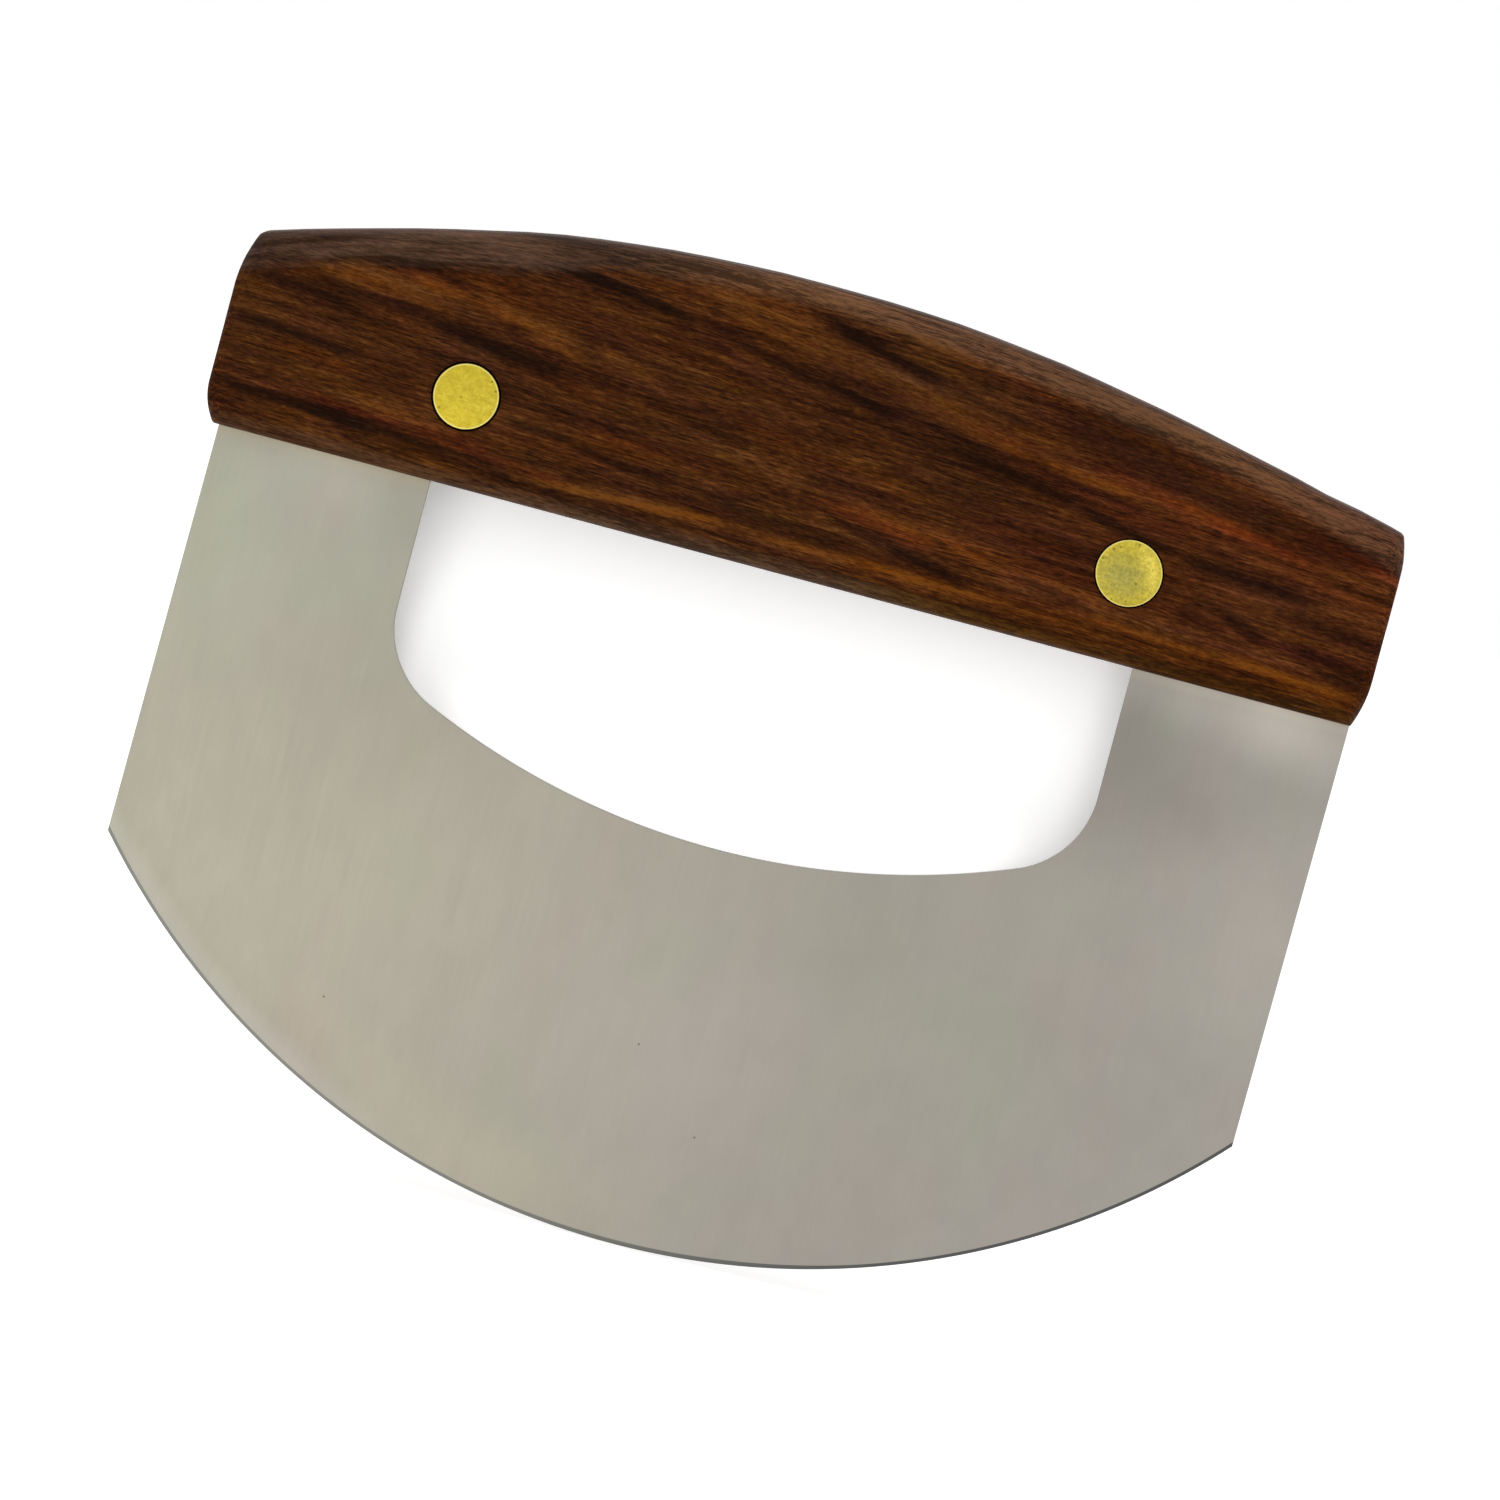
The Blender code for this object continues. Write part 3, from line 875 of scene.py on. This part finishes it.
def walnut_grain(tree):
    """The patterns of one solid grain that runs through the whole handle."""
    x, y, z = object_place(tree)
    height = calc(tree, "SUBTRACT", z, HANDLE_LOW)

    # Behind the front face the layers of the wood bend, and then rise steadily
    inwards = calc(tree, "ADD", y, FACE_Y)
    bend = calc(tree, "DIVIDE", inwards, calc(tree, "ADD", inwards, 3 * MM))
    layer = calc(tree, "MULTIPLY_ADD", calc(tree, "MULTIPLY", inwards, bend), 1.15, height)

    # The figure falls to the right, more so in the upper half, and the fibres a little less
    waver = stretched_noise(tree, (x, inwards, height), (16, 30, 45), 2.0)
    waver = calc(tree, "MULTIPLY_ADD", waver, 3.0 * MM, -1.5 * MM)
    wavering = calc(tree, "ADD", layer, waver)
    lean = ease(tree, height, 0.0, 26 * MM, 0.03, 0.16)
    figure_place = (x, inwards, calc(tree, "MULTIPLY_ADD", x, lean, wavering))
    fibre_place = (x, inwards, calc(tree, "MULTIPLY_ADD", x, 0.035, wavering))

    figure = stretched_noise(tree, figure_place, (20, 60, 280), 3.0, 0.6)
    lines = stretched_noise(tree, fibre_place, (60, 300, 1150), 3.0, 0.6)
    fibres = stretched_noise(tree, fibre_place, (230, 2600, 3300), 3.0, 0.65)
    grit = stretched_noise(tree, fibre_place, (760, 3300, 3900), 2.0, 0.7)
    tone = 0.0
    for pattern, strength in ((figure, 1.3), (lines, 1.05), (fibres, 1.3), (grit, 1.2)):
        tone = calc(tree, "MULTIPLY_ADD", calc(tree, "SUBTRACT", pattern, 0.5), strength, tone)

    dashes = stretched_noise(tree, fibre_place, (330, 5200, 6600), 1.0, 0.5)
    regions = stretched_noise(tree, fibre_place, (30, 120, 260), 2.0)
    pores = ease(tree, dashes, 0.58, 0.7)
    pores = calc(tree, "MULTIPLY", pores, ease(tree, regions, 0.38, 0.62))

    # The streaks are frayed and ragged along the fibres
    frayed = calc(tree, "MULTIPLY_ADD", lines, 1.8 * MM, calc(tree, "MULTIPLY", waver, 0.3))
    streak_x = calc(tree, "MULTIPLY_ADD", lines, 0.4 * MM, calc(tree, "SUBTRACT", x, 0.2 * MM))
    streak_z = calc(tree, "ADD", layer, calc(tree, "SUBTRACT", frayed, 0.9 * MM))
    ragged = calc(tree, "MULTIPLY_ADD", fibres, 0.6, calc(tree, "MULTIPLY", lines, 0.4))
    ragged = ease(tree, ragged, 0.34, 0.66, 0.3, 1.4)
    dark = calc(tree, "MULTIPLY", add_streaks(tree, DARK_STREAKS, streak_x, streak_z), ragged)
    light = add_streaks(tree, LIGHT_STREAKS, streak_x, streak_z)
    light = calc(tree, "MULTIPLY", light, calc(tree, "SUBTRACT", 1.7, ragged))
    red = add_streaks(tree, RED_STREAKS, streak_x, streak_z)

    # How dark or bright the grain leaves the sanded round-overs
    edge_grain = ease(tree, tone, -0.3, 0.3, 0.42, 1.6)
    for mask, change in ((dark, -0.45), (light, 0.22), (pores, -0.45)):
        left = calc(tree, "MULTIPLY_ADD", mask, change, 1.0)
        edge_grain = calc(tree, "MULTIPLY", edge_grain, left)

    return SimpleNamespace(
        x=x, y=y, z=z, height=height, waver=waver, figure_place=figure_place, figure=figure,
        lines=lines, fibres=fibres, grit=grit, tone=tone, pores=pores, dark=dark, light=light,
        red=red, edge_grain=edge_grain,
    )


def walnut_faces(tree, wood):
    """The colours of the flat faces: the grain, its streaks, and stretches of other hues."""
    x = wood.x
    aside = calc(tree, "ABSOLUTE", x)
    outer = ease(tree, aside, 30 * MM, 62 * MM, 0.53, 0.556)
    outer = calc(tree, "ADD", outer, ease(tree, x, -48 * MM, -60 * MM, 0.0, 0.012))
    upper = ease(tree, wood.height, 14 * MM, 22 * MM, 0.0, -0.045)
    upper = calc(tree, "MULTIPLY", upper, ease(tree, aside, 55 * MM, 35 * MM))
    left_middle = calc(tree, "ABSOLUTE", calc(tree, "ADD", x, 32 * MM))
    left_middle = ease(tree, left_middle, 18 * MM, 8 * MM, 0.0, -0.012)
    inner = calc(tree, "ADD", upper, left_middle)
    tone = calc(tree, "ADD", calc(tree, "ADD", wood.tone, outer), inner)
    tone = calc(tree, "MULTIPLY_ADD", wood.dark, -0.62, tone)
    tone = calc(tree, "MULTIPLY_ADD", wood.light, 0.44, tone)

    colour = colour_scale(tree, tone, WALNUT_TONES)
    colour = tinge(tree, wood.dark, colour, (0.93, 1.12, 1.4))
    colour = tinge(tree, wood.light, colour, (1.1, 0.97, 0.62))
    colour = tinge(tree, wood.red, colour, (1.26, 0.9, 0.82))

    # Redder, greyer, yellower and more purple stretches, and a slightly redder right half
    warmth = stretched_noise(tree, wood.figure_place, (30, 60, 220), 2.0)
    hue = stretched_noise(tree, wood.figure_place, (55, 140, 520), 3.0, 0.6)
    colour = tinge_where(tree, colour, (
        (warmth, 0.48, 0.7, 0.6, (1.2, 0.9, 0.8)),
        (warmth, 0.5, 0.3, 0.5, (0.88, 1.04, 1.15)),
        (hue, 0.5, 0.66, 0.9, (1.04, 1.02, 0.52)),
        (hue, 0.5, 0.34, 0.9, (0.98, 0.92, 1.5)),
        (x, 15 * MM, 35 * MM, 1.0, (1.05, 0.94, 1.0)),
    ))
    return blend(tree, calc(tree, "MULTIPLY", wood.pores, 0.8), colour, DARKEST_WOOD)


def walnut_crown_sheen(tree, wood, colour):
    """The sanded crown's painted sheen and light: a clear border on the left, where the round-over
    is a little wider.
    """
    x = wood.x
    above_centre = calc(tree, "SUBTRACT", wood.z, HANDLE_TOP - CROWN_RADIUS)
    below_crown = calc(tree, "SUBTRACT", CROWN_RADIUS, distance(tree, x, above_centre))
    border = ease(tree, x, -42 * MM, -28 * MM, 4.3 * MM, 2.7 * MM)
    border = calc(tree, "ADD", border, ease(tree, x, 0.0, 35 * MM, 0.0, 1.2 * MM))
    on_left = ease(tree, x, -30 * MM, -48 * MM)
    ragged = calc(tree, "SUBTRACT", wood.lines, 0.5)
    waving = calc(tree, "MULTIPLY", calc(tree, "SUBTRACT", wood.figure, 0.5), on_left)
    wander = calc(tree, "MULTIPLY_ADD", ragged, 1.8 * MM, below_crown)
    wander = calc(tree, "MULTIPLY_ADD", waving, 2.4 * MM, wander)
    softness = 0.9 * MM
    beyond = calc(tree, "DIVIDE", calc(tree, "SUBTRACT", wander, border), softness)
    crown = ease(tree, beyond, 1.0, -1.0)

    # The top of the crown, between the two round-overs, is as dark as the sides. The sanding,
    # from -1 to 1 mm, is held in a scale of greys.
    length_share = calc(tree, "MULTIPLY_ADD", x, 1 / (2 * HALF_LENGTH), 0.5)
    greys = [(along_handle(place * MM), [(rise + 1) / 2] * 3) for place, rise in CROWN_SANDING]
    sanded = put(tree, "ShaderNodeRGBToBW", {0: colour_scale(tree, length_share, greys)})
    sanded = calc(tree, "MULTIPLY_ADD", sanded.outputs[0], 2 * MM, -1 * MM)
    below_top = calc(tree, "ADD", below_crown, sanded)
    crown = calc(tree, "MULTIPLY", crown, ease(tree, below_top, 0.08 * MM, 0.3 * MM, 0.15, 1.0))

    # On the left the streaks follow the crown, and elsewhere the grain shows through
    along_crown = calc(tree, "MULTIPLY_ADD", wood.waver, 0.3, below_crown)
    streaky = stretched_noise(tree, (x, wood.y, along_crown), (50, 60, 1000), 3.0, 0.6)
    streaky = ease(tree, streaky, 0.34, 0.66)
    streaks = blend(tree, streaky, (0.38, 0.36, 0.32), (1.68, 1.72, 1.8))
    fine = calc(tree, "MULTIPLY_ADD", wood.fibres, 0.6, calc(tree, "MULTIPLY", wood.grit, 0.4))
    streaks = dim(tree, streaks, ease(tree, fine, 0.34, 0.66, 0.6, 1.42))
    grain = blend(tree, on_left, join(tree, *[wood.edge_grain] * 3), streaks)

    # The crown's pale colour is a painted sheen, brighter to the right as painted light
    tones = [(along_handle(place * MM), tone) for place, tone in CROWN_SHEEN_TONES]
    crown_sheen_colour = tinge(tree, 1.0, colour_scale(tree, length_share, tones), grain)
    return blend(tree, calc(tree, "MULTIPLY", crown, 0.8), colour, crown_sheen_colour)


def walnut_lower_sheen(tree, wood, colour):
    """The lower round-over is paler too, a painted sheen, most of all in the middle, and yellower
    right.
    """
    lower_sheen = ease(tree, wood.height, 2.6 * MM, 0.9 * MM)
    left_share = ease(tree, wood.x, -48 * MM, -14 * MM, 0.25, 0.5)
    share = calc(tree, "MULTIPLY", left_share, ease(tree, wood.x, 14 * MM, 34 * MM, 1.0, 0.45))
    lower_sheen = calc(tree, "MULTIPLY", calc(tree, "MULTIPLY", lower_sheen, share), wood.edge_grain)
    to_right = ease(tree, wood.x, 5 * MM, 28 * MM)
    lower_sheen_colour = blend(tree, to_right, (0.135, 0.077, 0.041), (0.135, 0.068, 0.012))
    colour = blend(tree, lower_sheen, colour, lower_sheen_colour)
    yellow = calc(tree, "MULTIPLY", ease(tree, wood.height, 6.5 * MM, 4 * MM), to_right)
    return tinge(tree, yellow, colour, (1.05, 1.02, 0.55))


def walnut_material():
    """Oiled walnut, with a painted sheen that makes its sanded round-overs paler, and painted shade
    round the rivets.
    """
    constants = {"Roughness": 0.46, "Specular IOR Level": 0.03}
    material, tree, shader = new_material("oiled_walnut", constants)
    wood = walnut_grain(tree)
    colour = walnut_faces(tree, wood)
    colour = walnut_crown_sheen(tree, wood, colour)
    colour = walnut_lower_sheen(tree, wood, colour)
    # Painted shade darkens the wood round each rivet head
    for middle_x in RIVET_X.values():
        painted_shade = speck(tree, wood.x, wood.z, middle_x, RIVET_Z, SHADE_RING_RADIUS)
        colour = blend(tree, calc(tree, "MULTIPLY", painted_shade, 0.6), colour, DARKEST_WOOD)
    tree.links.new(colour, shader.inputs["Base Color"])
    tree.links.new(ease(tree, wood.lines, 0.3, 0.7, 0.52, 0.4), shader.inputs["Roughness"])
    raised = calc(tree, "MULTIPLY", wood.fibres, 0.5)
    bump(tree, shader, calc(tree, "MULTIPLY_ADD", wood.pores, -1.0, raised), 0.06 * MM)
    return material


def steel_faces(tree, place, marks):
    """The colours of the ground faces, with patches of painted light and shade, and cooler patches.
    """
    x, _, z = place
    cloud = stretched_noise(tree, place, (22, 30, 18), 3.0, 0.55)
    tint = stretched_noise(tree, place, (60, 60, 38), 2.0, 0.5)
    colour = tinge_where(tree, colour_scale(tree, cloud, STEEL_TONES), (
        (tint, 0.52, 0.66, 0.8, (1.025, 0.98, 1.0)),
        (tint, 0.48, 0.34, 0.8, (0.98, 1.02, 0.98)),
        (marks["Fine"], 0.3, 0.7, 1.0, (0.975, 0.975, 0.975)),
    ))
    mottle = stretched_noise(tree, place, (160, 160, 110), 2.0, 0.6)
    colour = dim(tree, colour, ease(tree, mottle, 0.35, 0.65, 0.984, 1.016))
    # Painted highlights and painted shade, patch by patch
    painted_light = 1.0
    for *patch, change in STEEL_PAINTED_LIGHT:
        painted_light = calc(tree, "MULTIPLY_ADD", soft_patch(tree, x, z, *patch), change, painted_light)
    colour = dim(tree, colour, painted_light)
    for *patch, factors in STEEL_TINTS:
        colour = tinge(tree, soft_patch(tree, x, z, *patch), colour, factors)

    # A strip along the handle is painted brighter, a painted light against the shade under the
    # handle, and warmer on the left
    painted_strip = ease(tree, z, HANDLE_LOW - 2 * MM, HANDLE_LOW - 0.2 * MM)
    to_right = ease(tree, x, -40 * MM, 45 * MM)
    factors = blend(tree, to_right, (1.155, 1.08, 1.0), (1.25, 1.22, 1.18))
    return tinge(tree, painted_strip, colour, factors)


def steel_edge(tree, place, colour):
    """A painted gleam and a paler painted highlight over the grind, and the honed bevel, by the
    distance in from the edge.
    """
    x, _, z = place
    across = calc(tree, "SUBTRACT", x, ARC_X)
    up = calc(tree, "SUBTRACT", z, EDGE_RADIUS)
    inwards = calc(tree, "SUBTRACT", EDGE_RADIUS, distance(tree, across, up))
    # Painted highlight: the grind shows brighter and paler near the edge on the left
    painted_gleam = ease(tree, inwards, 14 * MM, 3 * MM)
    painted_gleam = calc(tree, "MULTIPLY", painted_gleam, ease(tree, x, 16 * MM, -16 * MM))
    painted_gleam = calc(tree, "MULTIPLY", painted_gleam, ease(tree, x, -24 * MM, -46 * MM, 1.0, 0.45))
    colour = tinge(tree, painted_gleam, colour, (1.17, 1.145, 1.085))
    painted_edge_band = ease(tree, inwards, 3.6 * MM, 0.9 * MM)
    painted_edge_band = calc(tree, "MULTIPLY", painted_edge_band, ease(tree, x, -20 * MM, -50 * MM))
    colour = tinge(tree, painted_edge_band, colour, (1.1, 1.13, 1.17))

    # The bevel is widest a little right of the middle, and darker towards the right
    from_widest = calc(tree, "ABSOLUTE", calc(tree, "SUBTRACT", x, 8 * MM))
    extra_width = ease(tree, from_widest, 30 * MM, 5 * MM, 0.0, 0.15 * MM)
    beyond_bevel = calc(tree, "SUBTRACT", calc(tree, "SUBTRACT", inwards, extra_width), BEVEL_WIDTH)
    bevel = ease(tree, beyond_bevel, 0.05 * MM, -0.05 * MM)
    to_right = ease(tree, x, -60 * MM, 50 * MM)
    bevel_colour = blend(tree, to_right, (0.3, 0.295, 0.262), (0.107, 0.109, 0.106))
    return blend(tree, bevel, colour, bevel_colour)


def steel_material():
    """Satin steel, ground square to the handle, with a darker honed bevel."""
    material, tree, shader = new_material("satin_steel", {"Roughness": 0.36, "Metallic": 1.0})
    place = object_place(tree)
    x, y, z = place
    marks = use_group(tree, MARKS, {
        "Along": z, "Across": x, "Depth": y, "Lines": 6500.0, "Run": 90.0,
    })
    colour = steel_faces(tree, place, marks)
    colour = steel_edge(tree, place, colour)
    for speck_x, speck_z in STEEL_SPECKS:
        spot = speck(tree, x, z, speck_x * MM, speck_z * MM, STEEL_SPECK_RADIUS)
        colour = blend(tree, calc(tree, "MULTIPLY", spot, 0.7), colour, (0.1, 0.08, 0.06))
    tree.links.new(colour, shader.inputs["Base Color"])
    tree.links.new(ease(tree, marks["Fine"], 0.3, 0.7, 0.35, 0.375), shader.inputs["Roughness"])
    level = calc(tree, "MULTIPLY_ADD", marks["Deep"], -0.6, marks["Fine"])
    bump(tree, shader, level, 0.002 * MM)
    return material


def brass_material(name, middle_x, patina_and_highlight, dark_ring_radius, specks):
    """Ground brass, paler on its broken rim, duller in the middle, with a painted highlight, small
    dark specks and painted shade at its edge.
    """
    material, tree, shader = new_material(name, {"Roughness": 0.42, "Metallic": 1.0})
    place = object_place(tree)
    x, y, z = place
    across = calc(tree, "SUBTRACT", x, middle_x)
    up = calc(tree, "SUBTRACT", z, RIVET_Z)
    radius = distance(tree, across, up)
    marks = use_group(tree, MARKS, {
        "Along": x, "Across": z, "Depth": y, "Lines": 5200.0, "Run": 420.0,
    })
    cloud = stretched_noise(tree, place, (1150, 1150, 1150), 3.0, 0.7)
    colour = colour_scale(tree, cloud, BRASS_TONES)

    # The dull patch lies left of the middle; a painted highlight lies to the right of it
    dull_x = calc(tree, "MULTIPLY_ADD", across, 0.8, 0.65 * MM)
    dull_z = calc(tree, "ADD", up, 0.55 * MM)
    wavy = calc(tree, "MULTIPLY_ADD", cloud, 4.2 * MM, distance(tree, dull_x, dull_z))
    dull = ease(tree, wavy, 6.6 * MM, 2.6 * MM, 0.22, 1.0)
    colour = blend(tree, calc(tree, "MULTIPLY", dull, patina_and_highlight), colour, (0.40, 0.355, 0.088))
    leaning = calc(tree, "MULTIPLY_ADD", across, 0.9, calc(tree, "MULTIPLY", up, 0.42))
    leaning = calc(tree, "MULTIPLY_ADD", cloud, 2.2 * MM, leaning)
    painted_highlight = ease(tree, leaning, 2.2 * MM, 4.2 * MM, 0.0, 0.8 * patina_and_highlight)
    painted_highlight = calc(tree, "MULTIPLY", painted_highlight, ease(tree, radius, 4.1 * MM, 3.3 * MM, 0.25, 1.0))
    colour = blend(tree, painted_highlight, colour, (0.86, 0.70, 0.125))
    mottle = stretched_noise(tree, place, (3000, 3000, 3000), 1.0, 0.5)
    mottle = ease(tree, mottle, 0.3, 0.7, 0.93 - 0.07 * patina_and_highlight, 1.07 + 0.09 * patina_and_highlight)
    colour = dim(tree, colour, mottle)
    colour = tinge_where(tree, colour, [(marks["Fine"], 0.35, 0.75, 0.35, (0.85, 0.85, 0.8))])

    for speck_x, speck_z, speck_radius in specks:
        spot = speck(tree, across, up, speck_x * MM, speck_z * MM, speck_radius * MM)
        colour = blend(tree, calc(tree, "MULTIPLY", spot, 0.55), colour, (0.13, 0.1, 0.01))
    rim = ease(tree, radius, dark_ring_radius - 0.2 * MM, dark_ring_radius - 0.13 * MM)
    colour = blend(tree, calc(tree, "MULTIPLY", rim, 0.75), colour, (0.88, 0.77, 0.25))
    # Painted shade: the head's outer edge is dark where it meets the wood
    painted_shade = ease(tree, radius, dark_ring_radius - 0.02 * MM, dark_ring_radius + 0.06 * MM)
    colour = blend(tree, painted_shade, colour, (0.02, 0.01, 0.004))
    tree.links.new(colour, shader.inputs["Base Color"])
    tree.links.new(ease(tree, marks["Fine"], 0.3, 0.7, 0.38, 0.48), shader.inputs["Roughness"])
    bump(tree, shader, marks["Fine"], 0.004 * MM)
    return material


# Pieces

def dress(piece, node, material):
    """Gives the piece its material, and puts it in the place of its solid."""
    piece.data.materials.clear()
    piece.data.materials.append(material)
    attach(piece, "root")
    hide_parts(node)


dress(make_handle(), "handle", walnut_material())
dress(make_blade(), "blade", steel_material())
for side, patina_and_highlight, dark_ring_radius in (("left", 0.06, 4.22 * MM), ("right", 0.9, 4.34 * MM)):
    brass_name = side + "_rivet_brass"
    finish = brass_material(brass_name, RIVET_X[side], patina_and_highlight, dark_ring_radius, BRASS_SPECKS[side])
    male = make_rivet(side + "_rivet_pin_half", RIVET_X[side], -1, "pin")
    female = make_rivet(side + "_rivet_tube_half", RIVET_X[side], 1, "tube")
    dress(male, side + "_rivet_male", finish)
    dress(female, side + "_rivet_female", finish)


# Floor and the white card behind the opening

def glow(tree, strength):
    white = {"Color": (1, 1, 1, 1), "Strength": strength}
    return put(tree, "ShaderNodeEmission", white).outputs[0]


def white_surface(name, diffuse, strength):
    """White cloth, by itself and with a glow that only the camera sees."""
    material = bpy.data.materials.new(name)
    material.use_nodes = True
    tree = material.node_tree
    tree.nodes.clear()
    cloth = put(tree, "ShaderNodeBsdfDiffuse", {"Color": (diffuse, diffuse, diffuse, 1)}).outputs[0]
    shown = put(tree, "ShaderNodeAddShader", {0: cloth, 1: glow(tree, strength)}).outputs[0]
    return material, cloth, shown


def finish_surface(tree, share, first, second):
    mixed = put(tree, "ShaderNodeMixShader", {0: share, 1: first, 2: second})
    put(tree, "ShaderNodeOutputMaterial", {0: mixed.outputs[0]})


def floor_material():
    """The floor keeps the chopper's shade for the camera, and is plain white in reflections."""
    material, cloth, shown = white_surface("white_floor", 0.8, 0.45)
    tree = material.node_tree
    path = put(tree, "ShaderNodeLightPath").outputs
    seen = put(tree, "ShaderNodeMixShader", {0: path["Is Camera Ray"], 1: cloth, 2: shown})
    finish_surface(tree, path["Is Glossy Ray"], seen.outputs[0], glow(tree, 1.0))
    return material


def card_material():
    """The card shows from the front only. Its glow paints light and shade: whitest in the middle of
    the opening.
    """
    material, _, shown = white_surface("white_card", 0.95, 0.08)
    tree = material.node_tree
    x, _, z = object_place(tree)
    # Painted light and shade: the glow is raised under the handle and above the rim, and lowered
    # along the sides as painted shade
    under_handle = ease(tree, z, HANDLE_LOW - 24 * MM, HANDLE_LOW - 9 * MM, 0.0, 0.09)
    across = calc(tree, "SUBTRACT", x, ARC_X)
    down = calc(tree, "SUBTRACT", OPENING_LOW + OPENING_RADIUS, z)
    near_rim = (OPENING_RADIUS - 7 * MM, OPENING_RADIUS - 1.5 * MM)
    above_rim = ease(tree, distance(tree, across, down), *near_rim, 0.0, 0.2)
    inner = ease(tree, calc(tree, "ABSOLUTE", across), 42 * MM, 33 * MM)
    painted_glow = calc(tree, "MULTIPLY_ADD", above_rim, inner, under_handle)
    left_end = ease(tree, z, 70 * MM, 88 * MM, OPENING_LEFT + 4.5 * MM, OPENING_LEFT + 9.5 * MM)
    left_shade = ease(tree, x, OPENING_LEFT, left_end, 0.19, 0.0)
    right_shade = ease(tree, x, OPENING_RIGHT, OPENING_RIGHT - 5 * MM, 0.09, 0.0)
    shade = calc(tree, "ADD", left_shade, right_shade)
    painted_glow = calc(tree, "SUBTRACT", calc(tree, "ADD", painted_glow, 0.175), shade)
    shown = put(tree, "ShaderNodeAddShader", {0: shown, 1: glow(tree, painted_glow)}).outputs[0]

    behind = put(tree, "ShaderNodeNewGeometry").outputs["Backfacing"]
    to_camera = put(tree, "ShaderNodeLightPath").outputs["Is Camera Ray"]
    share = calc(tree, "MULTIPLY", to_camera, calc(tree, "SUBTRACT", 1.0, behind))
    clear = put(tree, "ShaderNodeBsdfTransparent").outputs[0]
    finish_surface(tree, share, clear, shown)
    return material


def add_stage(name, size, location, rotation, scale, material):
    bpy.ops.object.select_all(action="DESELECT")
    bpy.ops.mesh.primitive_plane_add(size=size, location=location, rotation=rotation)
    bpy.context.object.scale = scale
    plane = begin(name)
    plane.data.materials.append(material)


# The floor is 6 m square. The card is 118 by 44 mm, close behind the opening.
add_stage("floor", 6.0, (0, 0, 0), (0, 0, 0), (1, 1, 1), floor_material())
add_stage(
    "card", 1.0, (0.3 * MM, 5.8 * MM, 71 * MM), (math.pi / 2, 0, 0), (0.118, 0.044, 1),
    card_material(),
)


# Light

def world_light(strength):
    world = bpy.data.worlds.new("white_studio")
    bpy.context.scene.world = world
    world.use_nodes = True
    tree = world.node_tree
    tree.nodes.clear()
    path = put(tree, "ShaderNodeLightPath")
    seen = calc(tree, "MAXIMUM", path.outputs["Is Camera Ray"], path.outputs["Is Glossy Ray"])
    seen = calc(tree, "MAXIMUM", seen, path.outputs["Is Transmission Ray"])
    level = ease(tree, seen, 0.0, 1.0, strength, 1.0)
    light = put(tree, "ShaderNodeBackground", {"Color": (1, 1, 1, 1), "Strength": level})
    put(tree, "ShaderNodeOutputWorld", {0: light.outputs[0]})


def soft_light(name, place, target, size, watts, colour=(1, 1, 1), on_metal_only=False):
    """A lamp behind a sheet of this width and height, from its place towards the target."""
    lamp = bpy.data.lights.new(name, "AREA")
    lamp.shape = "RECTANGLE"
    lamp.size, lamp.size_y = size
    lamp.energy = watts
    lamp.color = colour
    obj = bpy.data.objects.new(name, lamp)
    bpy.context.scene.collection.objects.link(obj)
    obj.location = place
    obj.rotation_mode = "QUATERNION"
    obj.rotation_quaternion = (Vector(target) - Vector(place)).to_track_quat("-Z", "Y")
    obj.visible_diffuse = not on_metal_only
    obj.visible_glossy = on_metal_only


world_light(1.0)
soft_light("front", (0.25, -1.2, 0.1), (0, 0, 0.07), (0.8, 0.5), 0.6)
soft_light("above_right", (0.5, -0.3, 0.7), (0, 0, 0.1), (0.4, 0.4), 1.05)
soft_light(
    "low_left", (-0.066, -0.37, 0.021), (-0.066, 0, 0.021), (0.05, 0.036), 0.04,
    colour=(1, 0.99, 0.66), on_metal_only=True,
)


# Camera

def add_camera():
    """The photograph's view: 3 degrees above level, rolled so that the handle falls right."""
    elevation = math.radians(3)
    roll = math.radians(14.95)
    metres_away = 2.0
    picture_side = 1500
    pixel = 0.1293 * MM
    sensor_mm = 36

    # The middle of the handle's lower front edge, and where it shows from the picture's middle
    shown_point = Vector((0, -FACE_Y, HANDLE_LOW))
    right_pixels = 778.42 - picture_side / 2
    up_pixels = picture_side / 2 - 574.68

    forward = Vector((0, math.cos(elevation), -math.sin(elevation)))
    level_right = Vector((1, 0, 0))
    level_up = Vector((0, math.sin(elevation), math.cos(elevation)))
    right = math.cos(roll) * level_right + math.sin(roll) * level_up
    up = -math.sin(roll) * level_right + math.cos(roll) * level_up
    place = shown_point - forward * metres_away
    place = place - right * right_pixels * pixel - up * up_pixels * pixel

    camera = bpy.data.cameras.new("camera")
    camera.sensor_width = sensor_mm
    camera.lens = sensor_mm * metres_away / (picture_side * pixel)
    camera.clip_start = 0.01
    obj = bpy.data.objects.new("camera", camera)
    bpy.context.scene.collection.objects.link(obj)
    turn = Matrix((right, up, -forward)).transposed().to_4x4()
    obj.matrix_world = Matrix.Translation(place) @ turn
    bpy.context.scene.camera = obj


add_camera()
bpy.context.scene.view_settings.view_transform = "Standard"
